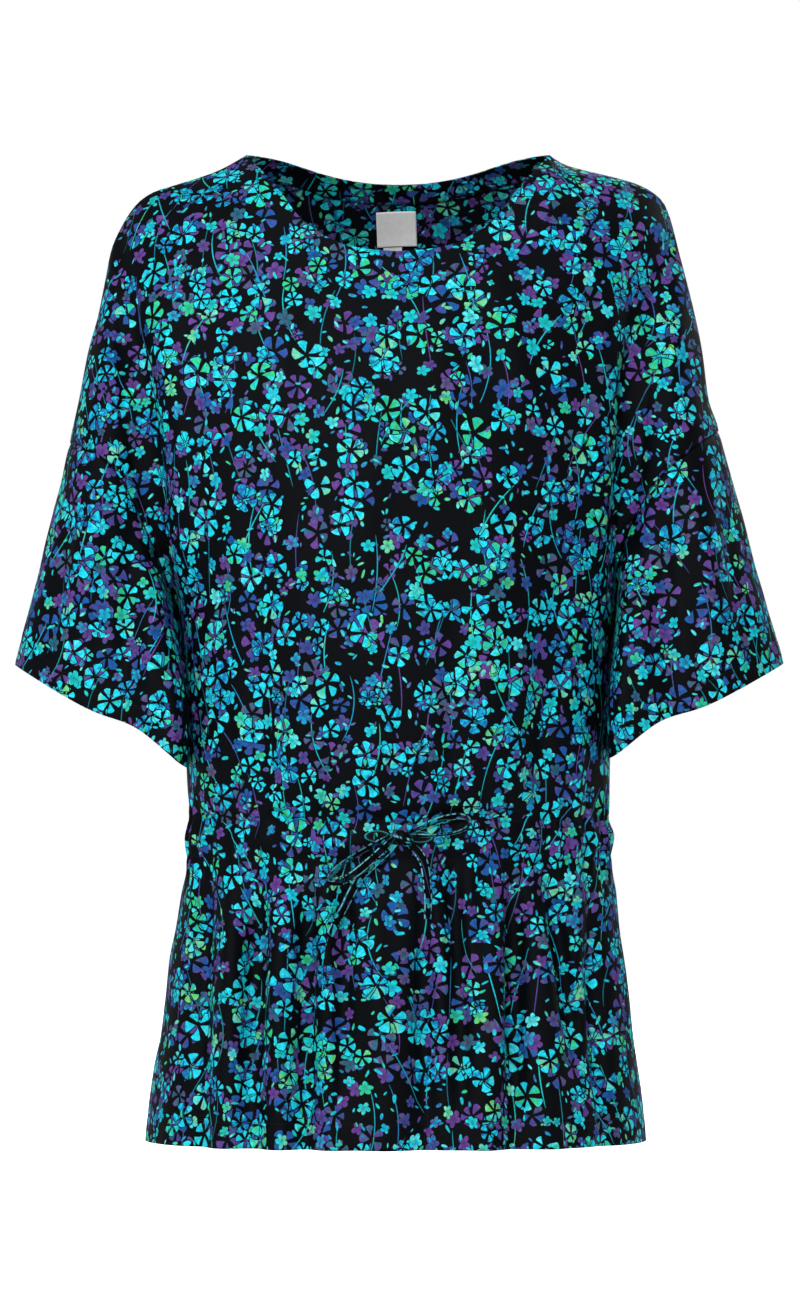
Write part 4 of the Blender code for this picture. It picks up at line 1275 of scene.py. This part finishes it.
def print_group():
    """The flower print: from places in metres on the flat cloth to a colour."""
    tree = bpy.data.node_groups.new("flower_print", "ShaderNodeTree")
    tree.interface.new_socket("Place", in_out="INPUT", socket_type="NodeSocketVector")
    tree.interface.new_socket("Colour", in_out="OUTPUT", socket_type="NodeSocketColor")
    g = Graph(tree)
    straight = g.vector("MULTIPLY", g.value("NodeGroupInput"), (1000.0, 1000.0, 0.0))
    wobble = g.vector("SUBTRACT", g.noise(straight, 0.085, 0.0, "Color"), (0.5, 0.5, 0.5))
    at = g.vector("ADD", straight, g.vector("MULTIPLY", wobble, (3.4, 3.4, 0.0)))
    wash = g.noise(at, 0.24, 2.0)
    # Each layer lies over those before it. Its number is the black edge left round its motifs
    layers = (
        (0.0, stem(g, straight, 11.3, 20.0, 78.0, 0.85, 0.38, 0.7, STEM_COLOURS)),
        (0.0, pinwheel(g, at, wash, 26.0, 3.0, 11.2, 0.78, UNDER_COLOURS, 0.22)),
        (0.0, blossom(g, at, wash, 18.0, 57.0, 6.0, 0.50, UNDER_COLOURS)),
        (0.0, petal(g, at, wash, 10.0, 131.0, 2.7, 0.54, SMALL_COLOURS)),
        (0.45, blossom(g, at, wash, 18.0, 211.0, 5.5, 0.50, SMALL_COLOURS)),
        (0.55, pinwheel(g, at, wash, 22.0, 305.0, 7.9, 0.44, TOP_COLOURS, 0.16)),
        (0.0, stem(g, straight, 23.9, 36.0, 66.0, 0.62, 0.44, 1.4, STEM_COLOURS)),
        (0.75, pinwheel(g, at, wash, 28.0, 409.0, 11.2, 0.68, TOP_COLOURS, 0.20)),
        (0.0, petal(g, at, wash, 13.0, 517.0, 2.4, 0.45, SMALL_COLOURS)),
    )
    colour = (*GROUND, 1)
    for gap, (shade, shape, there) in layers:
        if gap:
            colour = g.mix(edge(g, shape + gap) * there, colour, (*GROUND, 1))
        colour = g.mix(edge(g, shape) * there, colour, shade)
    leafy = g.ramp(g.noise(at, 0.05), 0.60, 0.70) * g.ramp(g.split_colour(colour)[1], 0.30, 0.50)
    colour = g.mix(leafy * 0.55, colour, (*LIME, 1))
    blots = g.ramp(g.noise(at, 0.45), 0.32, 0.66)
    g.node("NodeGroupOutput", (g.scale(colour, blots * 0.28 + 0.76),))
    return tree


def new_material(name, roughness, specular):
    """A new material, with a graph to add nodes to and its shader's inputs."""
    made = bpy.data.materials.new(name)
    made.use_nodes = True
    inputs = made.node_tree.nodes["Principled BSDF"].inputs
    inputs["Roughness"].default_value = roughness
    inputs["Specular IOR Level"].default_value = specular
    return made, Graph(made.node_tree), inputs


def weave(g, inputs, x, y, pitch, share, grain, bump):
    """Fine relief of crossing threads over a grain. bump is its strength and its distance."""
    relief = grain
    if pitch:
        warp, weft = (g.math("SINE", along * (2 * np.pi / pitch)) for along in (x, y))
        relief = warp * weft * share + grain
    bump = {"Strength": bump[0], "Distance": bump[1], "Height": relief}
    g.put(g.value("ShaderNodeBump", bump), inputs["Normal"])


def print_material(name, group, shift, fade=0.0, turn=0.0):
    """Printed matt viscose with a fine plain weave. fade pales it, as on the wrong side."""
    made, g, inputs = new_material(name, 0.62, 0.05)
    places = g.value("ShaderNodeUVMap", uv_map="cloth")
    moved = {"Vector": places, "Location": (shift, shift * 1.7, 0.0), "Rotation": (0, 0, turn)}
    colour = g.value("ShaderNodeGroup", (g.value("ShaderNodeMapping", moved),), node_tree=group)
    if fade:
        colour = g.mix(fade, colour, (*WRONG_SIDE, 1))
    g.put(colour, inputs["Base Color"])
    x, y, _ = g.split(places)
    weave(g, inputs, x, y, WEAVE_PITCH, 0.5, g.noise(places, 900.0), (0.30, 0.00008))
    return made


def tie_material(name, group):
    """The print on the narrow tie, darker, with painted highlights: pale broken lines where folded
    edges catch the light.
    """
    made = print_material(name, group, 0.37, 0.0, 0.2)
    g = Graph(made.node_tree)
    base = made.node_tree.nodes["Principled BSDF"].inputs["Base Color"]
    across, along, _ = g.split(g.value("ShaderNodeUVMap", uv_map="edge"))
    # Painted shade: corners marked on a loop's inner side are made far darker, for the shade inside
    # the loop
    inner_shade = g.math("GREATER_THAN", across, 1.5)
    across = across - inner_shade * 2.0
    # Painted highlight: pale broken lines near both folded edges of the tie
    line = g.ramp(across, 0.66, 0.78) * g.ramp(across, 0.99, 0.90)
    line = line * g.ramp(g.noise(g.join(along * 1000.0, across), 0.30, 2.0), 0.44, 0.53)
    middle = g.scale(base.links[0].from_socket, 0.70 - inner_shade * 0.62)
    g.put(g.mix(line, middle, (*TIE_HIGHLIGHT, 1)), base)
    return made


def plain_material(name, colour, pitch=0.0):
    """A plain cloth or thread material with a fine woven relief and a little uneven colour."""
    made, g, inputs = new_material(name, 0.6, 0.12)
    place = g.value("ShaderNodeTexCoord", output="Object")
    spots = g.value("ShaderNodeTexNoise", {"Vector": place, "Scale": 260.0, "Detail": 3.0})
    darker = (0.80 * c for c in colour)
    g.put(g.mix(spots, (*darker, 1), (*colour, 1)), inputs["Base Color"])
    x, _, z = g.split(place)
    weave(g, inputs, x, z, pitch, 0.6, spots, (0.5, 0.0001))
    return made


def row_where(sheet, keys, at):
    """Points and normals where a sheet's columns reach a value of their keys."""
    rows = []
    for key, points, normals in zip(keys, sheet.points, sheet.normals):
        order = np.argsort(key)
        rows.append([between(at, key[order], values[order]) for values in (points, normals)])
    return np.swapaxes(rows, 0, 1)


def stitches(name, lines, thread, size=SEAM_STITCH):
    """Rows of short raised stitches along lines of points with their normals."""
    length, gap, thick = size
    t = np.arange(STITCH_STATIONS)
    turn = (2 * np.pi * np.arange(STITCH_SIDES) / STITCH_SIDES)[:, None]
    swell = (0.45 + 0.55 * np.sin(np.pi * (t + 0.5) / STITCH_STATIONS))[:, None, None]
    ends = np.isin(t, (0, STITCH_STATIONS - 1))[:, None, None]
    rows = []
    for line, normals in lines:
        run = run_of(line)
        begin = np.arange(run[-1] // (length + gap)) * (length + gap) + gap / 2
        at = begin[:, None] + length * t / (STITCH_STATIONS - 1)
        here = between(at, run, line)[:, :, None]
        ahead = unit(between(at + STITCH_AHEAD, run, line)[:, :, None] - here)
        out = unit(between(at, run, normals))[:, :, None]
        ring = np.cross(ahead, out) * np.cos(turn) + out * np.sin(turn)
        rows.append(here + out * (STITCH_RISE * swell - STITCH_DIVE * ends) + ring * thick / 2 * swell)
    points = np.concatenate(rows).reshape(-1, 3)
    each = STITCH_STATIONS * STITCH_SIDES
    caps = (np.arange(STITCH_SIDES)[::-1], np.arange(each - STITCH_SIDES, each))
    one = (*ring_faces(STITCH_STATIONS, STITCH_SIDES), *caps)
    faces = [face + first for first in range(0, len(points), each) for face in one]
    dress(make_mesh(name, points, faces, None, (thread,)))


def dress(piece, node=None):
    """Let a piece ride the part's one body, and hide the imported part that it stands for."""
    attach(piece, "root")
    if node:
        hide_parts(node)


def cloth_tree(sheet):
    """Search tree over a sheet's outer side, in millimetres."""
    faces = grid_faces(*sheet.points.shape[:2])
    return BVHTree.FromPolygons(sheet.points.reshape(-1, 3).tolist(), faces.tolist())


def cloth_y(tree, x, z):
    """How far forward the front's cloth comes at a place in the front view."""
    return tree.ray_cast(Vector((x, -300.0, z)), Vector((0, 1, 0)))[0].y


def clear_y(tree, x, z):
    """The most forward the front's cloth comes within half a tie's width of a place."""
    near = (-TIE_WIDTH / 2, 0, TIE_WIDTH / 2)
    return min(cloth_y(tree, x + dx, z + dz) for dx in near for dz in near)


def mark_edges(piece, across, along, shade_inside=False):
    """How far each face corner of a tie lies from its middle, and 2 more on a loop's inner side, which
    gets painted shade.
    """
    half = TIE_WIDTH / 2
    back = across > half + 1
    off_middle = np.abs(np.where(back, across - TIE_BACK, across)) / half + 2 * (back & shade_inside)
    layer = piece.data.uv_layers.new(name="edge")
    layer.uv.foreach_set("vector", np.column_stack([off_middle, along * MM]).ravel())


def tie_section(width):
    """Outline of a stitched tie: flat, round at its two edges, with a groove by the stitches."""
    turn = 2 * np.pi * np.arange(TIE_SIDES) / TIE_SIDES
    cosine, sine = np.cos(turn), np.sin(turn)
    u = np.sign(cosine) * abs(cosine) ** 0.55 * width / 2
    v = np.sign(sine) * abs(sine) ** 0.9 * TIE_WALL / 2
    dip = 0.22 * np.exp(-(((u - width * 0.33) / 0.55) ** 2))
    ridge = 0.12 * np.exp(-(((u - width * 0.44) / 0.5) ** 2))
    return u, v * (1 - dip / (TIE_WALL / 2)) + np.sign(v) * ridge


def tie_ribbon(name, path, across, cloth, narrow_ends, shift, shade_inside):
    """A flat stitched tie along a path. across gives the direction of its width."""
    run = run_of(path)[:, None]
    share = np.linspace(0, 1, len(path))[:, None]
    ahead = unit(np.gradient(path, axis=0))
    wide = unit(across - ahead * (across * ahead).sum(axis=1, keepdims=True))
    thick = np.cross(ahead, wide)
    start, end = narrow_ends
    narrow = 1 - (1 - start) * soft_step(1 - share / 0.18)
    narrow = narrow - (1 - end) * soft_step((share - 0.82) / 0.18)
    u, v = tie_section(TIE_WIDTH * narrow)
    ripple = 0.18 * np.sin(run * 0.55 + shift) + 0.10 * np.sin(run * 1.3)
    out = v + ripple * 0.5 * (u / TIE_WIDTH)
    points = path[:, None] + wide[:, None] * u[..., None] + thick[:, None] * out[..., None]
    place = np.stack(np.broadcast_arrays(np.where(v < 0, u, u + TIE_BACK), run), axis=-1)
    quads = ring_faces(len(path), TIE_SIDES)
    faces = [*quads, np.arange(TIE_SIDES)[::-1], np.arange(TIE_SIDES) + (len(path) - 1) * TIE_SIDES]
    places = place.reshape(-1, 2)[np.concatenate(faces)]
    flat = places * MM + np.array([shift * 0.01, 0.3])
    made = make_mesh(name, points.reshape(-1, 3), faces, flat, (cloth,))
    mark_edges(made, places[:, 0], places[:, 1], shade_inside)
    return made


def tail_path(table, tree):
    """Path of a free end down the cloth, lifted a little, and the way its width turns."""
    points = np.array([(x, clear_y(tree, x, z) - standoff, z) for x, z, standoff in table[1:]])
    knots = np.arange(len(points))
    fine = np.linspace(0, knots[-1], 40 * len(points))
    path = np.stack([smooth(fine, knots, points[:, k]) for k in range(3)], axis=1)
    path = walk(path, TAIL_STEPS)
    outward = np.array([0.0, -1.0, 0.0])
    across = unit(np.cross(np.gradient(path, axis=0), outward))
    turn = np.radians(np.linspace(*TAIL_TURN_DEG, TAIL_STEPS + 1))[:, None]
    return path + TAIL_LIFT * outward, across * np.cos(turn) + outward * np.sin(turn)


def loop_path(table, tree):
    """Path of a bow's loop, out from the knot and back, and the direction of its width."""
    x, z, end_x, end_z, standoff, bulge, lean_deg = table[1]
    outward = np.array([0.0, -1.0, 0.0])
    start = np.array([x, clear_y(tree, x, z) - standoff, z])
    end = np.array([end_x, clear_y(tree, end_x, end_z) - standoff, end_z])
    length = np.linalg.norm(end - start)
    along = (end - start) / length
    down = np.array([0.0, 0.0, -1.0])
    down = unit(down - along * np.dot(down, along))
    lean = np.radians(lean_deg)
    opening = np.cos(lean) * outward + np.sin(lean) * down
    s = np.linspace(0, 1, 400)
    out = length * np.sin(np.pi * s)
    aside = -LOOP_THROAT / 2 * np.cos(np.pi * s) - bulge * np.sin(2 * np.pi * s)
    path = walk(start + out[:, None] * along + aside[:, None] * opening, LOOP_STEPS)
    twist = LOOP_TWIST * np.sin(np.pi * np.linspace(0, 1, LOOP_STEPS + 1) * 2)
    return path, np.cross(along, opening) + twist[:, None] * opening


def add_bow(front, cloth):
    """The drawstring's knot, its two loops and its two free ends."""
    tree = cloth_tree(front)
    tail = (tail_path, (0.75, 0.96), "bare", "hanging")
    loop = (loop_path, (0.7, 0.7), "object", "loose")
    for name, node, table, shift, (find, narrow_ends, far_end, lay) in (
        ("tie_end_left", "tie_tail_left", LEFT_TAIL, 4.0, tail),
        ("tie_end_right", "tie_tail_right", RIGHT_TAIL, 9.0, tail),
        ("bow_loop_left", "tie_loop_left", LEFT_LOOP, 15.0, loop),
        ("bow_loop_right", "tie_loop_right", RIGHT_LOOP, 22.0, loop),
    ):
        path, across = find(table, tree)
        made = tie_ribbon(name, path, across, cloth, narrow_ends, shift, find is loop_path)
        dress(made, node)
        tuple(path[0] * MM)
        (path * MM).tolist()
    add_knot(tree, cloth)


def add_knot(tree, cloth):
    """The bow's knot: one turn of tie pulled round the crossing, with soft folds in it."""
    centre = np.array([KNOT_X, clear_y(tree, KNOT_X, KNOT_Z) - KNOT_STANDOFF, KNOT_Z])
    polar = (np.pi * np.arange(KNOT_ROWS + 1) / KNOT_ROWS)[:, None]
    turn = 2 * np.pi * np.arange(KNOT_COLUMNS + 1) / KNOT_COLUMNS
    ball = (np.sin(polar) * np.cos(turn), np.sin(polar) * np.sin(turn), np.cos(polar) + 0 * turn)
    lean = ball[0] * KNOT_LEAN[0] + ball[2] * KNOT_LEAN[1]
    across = ball[2] * KNOT_LEAN[0] - ball[0] * KNOT_LEAN[1]
    folds = sum(tall * np.cos(a * across + b * lean) for tall, a, b in KNOT_FOLDS)
    band = KNOT_BAND[0] * np.exp(-((lean / KNOT_BAND[1]) ** 6))
    size = 0.90 + folds * np.sin(polar) + band
    x, y, z = (half * part * size for half, part in zip(KNOT_HALF, ball))
    cosine, sine = np.cos(np.radians(KNOT_TILT_DEG)), np.sin(np.radians(KNOT_TILT_DEG))
    points = centre + np.stack([x * cosine + z * sine, y, z * cosine - x * sine], axis=-1)
    place = np.stack([across * TIE_WIDTH, lean * TIE_WIDTH + 500], axis=-1).reshape(-1, 2)
    faces = grid_faces(KNOT_ROWS + 1, KNOT_COLUMNS + 1)[:, [0, 3, 2, 1]]
    places = place[faces].reshape(-1, 2)
    made = make_mesh("bow_knot", points.reshape(-1, 3), faces, places * MM, (cloth,))
    mark_edges(made, places[:, 0] % TIE_WIDTH - TIE_WIDTH / 2, places[:, 1])
    dress(made, "tie_knot")


def add_eyelets(front, thread, rim):
    """Two worked eyelets beside the knot, where the drawstring comes out of its channel."""
    tree = cloth_tree(front)
    turns = 2 * np.pi * np.arange(EYELET_SIDES) / EYELET_SIDES
    for side, x, z in EYELETS[1:]:
        points = []
        for reach, rise, worked in EYELET_RINGS[1:]:
            for turn in turns:
                bar = worked * EYELET_BAR * np.cos(EYELET_SIDES / 2 * turn)
                at_x = x + EYELET_HALF[0] * reach * np.cos(turn)
                at_z = z + EYELET_HALF[1] * reach * np.sin(turn)
                points.append((at_x, cloth_y(tree, at_x, at_z) - rise - bar, at_z))
        faces = ring_faces(len(EYELET_RINGS) - 1, EYELET_SIDES)
        outermost = np.arange(len(faces)) >= len(faces) - EYELET_SIDES
        dress(make_mesh("eyelet_" + side, points, faces, None, (thread, rim), outermost))


def add_strips(front, back, cloth):
    """The waist channel inside and the facing inside the back neck."""
    strips = []
    for face, sheet in (("front", front), ("back", back)):
        heights = sheet.points[len(PLACES) // 2, :, 2]
        first, last = (int(np.argmin(np.abs(heights - z))) for z in (CHANNEL_TOP_Z, CHANNEL_LOW_Z))
        cut = part_of(sheet, slice(None), slice(first, last + 1))
        strips.append(("channel_" + face, "waist_channel_" + face, cut, CHANNEL_UNDER))
    cut = part_of(back, slice(NECK_FIRST, len(PLACES) - NECK_FIRST), slice(0, FACING_FINE_ROWS))
    strips.append(("neck_facing", "back_neck_facing", cut, STRIP_UNDER))
    for name, node, cut, under in strips:
        piece = shell(name, cut, STRIP_WALL, (cloth, cloth), under)
        dress(piece, node)
        declare(cut)


def add_label(back, white, thread):
    """Bare woven label and its small tab, sewn to the inside of the back."""
    tree = cloth_tree(back)
    count = LABEL_CELLS + 1
    lean = np.radians(LABEL_TURN_DEG)
    for name, node, middle_x, top_z, width, height, off, last in LABELS[1:]:
        grid = np.zeros((count, count, 3))
        for i, j in np.ndindex(count, count):
            across = (i / LABEL_CELLS - 0.5) * width
            down = -j / LABEL_CELLS * height
            x = middle_x + across * np.cos(lean) - down * np.sin(lean)
            z = top_z + across * np.sin(lean) + down * np.cos(lean)
            place, normal, _, _ = tree.ray_cast(Vector((x, 0, z)), Vector((0, 1, 0)))
            inward = np.array(normal) * (-1 if normal.y > 0 else 1)
            curl = 0.5 * (2 * i / LABEL_CELLS - 1) ** 2 + 0.6 * (j / LABEL_CELLS) ** 2
            grid[i, j] = np.array(place) + inward * (off + curl)
        sheet = Sheet(grid)
        ways = (np.linspace(0, width, count), np.linspace(0, height, count))
        sheet.flat = np.stack(np.meshgrid(*ways, indexing="ij"), axis=-1) * MM
        piece = shell("bare_" + name, sheet, LABEL_WALL, (white, white))
        seen, side = sheet.points, sheet.normals
        if side[count // 2, count // 2, 1] > 0:
            seen, side = seen - side * LABEL_WALL, -side
        lines = [(seen[2:-2, row], side[2:-2, row]) for row in (1, last)]
        stitches(name + "_stitches", lines, thread, LABEL_STITCH)
        dress(piece, node)
        declare(sheet)


def add_sewing(sheets, thread):
    """Stitch rows at the hem, cuffs, neck edge and waist channel."""
    front, back, *sleeves = sheets
    rows = [row_where(sheet, sheet.from_low_edge(), HEM_DEEP) for sheet in (front, back)]
    stitches("hem_stitches", rows, thread)
    rows = [row_where(sheet, sheet.from_low_edge(), CUFF_DEEP) for sheet in sleeves]
    stitches("cuff_stitches", rows, thread)
    heights = (CHANNEL_TOP_Z, CHANNEL_LOW_Z)
    rows = [row_where(sheet, sheet.points[..., 2], z) for sheet in (front, back) for z in heights]
    stitches("channel_stitches", rows, thread)
    side = NECK_FIRST + 2
    rows = [row_where(sheet, run_of(sheet.points), NECK_STITCH) for sheet in (front, back)]
    stitches("neck_stitches", [row[:, side:-side] for row in rows], thread)
    inside = slice(side + 1, -side - 1)
    inward = -back.normals[inside, FACING_FINE_ROWS - 2]
    line = back.points[inside, FACING_FINE_ROWS - 2] + inward * (STRIP_UNDER + STRIP_WALL)
    stitches("facing_stitches", [(line, inward)], thread)


def declare(sheet):
    """Work out how large the flat cloth of a piece was before it was sewn; the result is not used."""
    places = sheet.flat.reshape(-1, 2)
    width, length = (places.max(axis=0) - places.min(axis=0)).tolist()
    min(sheet.area(), width * length)


def add_camera():
    """Level camera in front, which frames the blouse as it is seen from mid height."""
    data = bpy.data.cameras.new("camera")
    data.sensor_fit = "VERTICAL"
    data.sensor_height = 36.0
    data.lens = data.sensor_height * CAMERA_DISTANCE / FRAME_HEIGHT
    data.clip_end = 50.0
    made = add_object("camera", data)
    made.location = (FRAME_MIDDLE[0], -CAMERA_DISTANCE, FRAME_MIDDLE[1])
    made.rotation_euler = (np.pi / 2, 0, 0)
    bpy.context.scene.camera = made


def add_lights():
    """Soft square lights in front, behind and above, all aimed at the middle of the blouse."""
    for name, place, size, watts in LIGHTS[1:]:
        data = bpy.data.lights.new(name, "AREA")
        data.shape = "SQUARE"
        data.size = size
        data.energy = watts
        made = add_object(name, data)
        made.location = place
        toward = Vector(LIGHT_AIM) - Vector(place)
        made.rotation_euler = toward.to_track_quat("-Z", "Y").to_euler()


def add_floor():
    """Large pale floor that looks lit a little from within, as a studio's white table does."""
    mesh = bpy.data.meshes.new("floor")
    half = FLOOR_HALF
    corners = [(-half, -half, 0), (half, -half, 0), (half, half, 0), (-half, half, 0)]
    mesh.from_pydata(corners, [], [(0, 1, 2, 3)])
    floor = add_object("floor", mesh)
    floor.location = (0, 0, FLOOR_Z)
    paint, g, inputs = new_material("floor_paint", 0.9, 0.1)
    inputs["Base Color"].default_value = (0.90, 0.90, 0.90, 1)
    inputs["Emission Color"].default_value = (1, 1, 1, 1)
    seen = g.value("ShaderNodeLightPath", output="Is Camera Ray")
    g.put(seen * FLOOR_GLOW, inputs["Emission Strength"])
    mesh.materials.append(paint)


def add_surround():
    """White backdrop all round, which looks bright but lights the cloth only softly."""
    world = bpy.data.worlds.new("studio")
    bpy.context.scene.world = world
    world.use_nodes = True
    g = Graph(world.node_tree)
    sky = world.node_tree.nodes["Background"]
    sky.inputs[0].default_value = (1, 1, 1, 1)
    seen = g.value("ShaderNodeLightPath", output="Is Camera Ray")
    strength = g.math("MULTIPLY_ADD", seen, SURROUND_LOOK - SURROUND_LIGHT, SURROUND_LIGHT)
    g.put(strength, sky.inputs[1])


def main():
    """Dress the part and set up the studio round it."""
    add_camera()
    front = body_sheet("front")
    back = body_sheet("back")
    sheets = [front, back, *(sleeve_sheet(front, back, side) for side in ("left", "right"))]
    group = print_group()
    outer = print_material("print_outer", group, 0.0)
    inner = print_material("print_wrong_side", group, 0.013, 0.06)
    strip = print_material("print_strip", group, 0.34, 0.0, 0.1)
    tie = tie_material("print_tie", group)
    thread = plain_material("black_thread", BLACK_THREAD)
    white = plain_material("label_weave", LABEL_WHITE, LABEL_PITCH)
    white_thread = plain_material("white_thread", WHITE_THREAD)
    add_bow(front, tie)
    add_eyelets(front, thread, plain_material("teal_thread", TEAL_THREAD))
    names = ("cloth_front", "cloth_back", "cloth_sleeve_left", "cloth_sleeve_right")
    nodes = ("front_body", "back_body", "sleeve_left", "sleeve_right")
    for number, (name, node, sheet) in enumerate(zip(names, nodes, sheets)):
        sheet.flat = sheet.flat + PRINT_STEP * number
        made = shell(name, sheet, cloth_depth(sheet), (outer, inner))
        dress(made, node)
        declare(sheet)
    add_strips(front, back, strip)
    add_label(back, white, white_thread)
    add_sewing(sheets, thread)
    bpy.context.scene.view_settings.view_transform = "Standard"
    add_floor()
    add_surround()
    add_lights()


main()
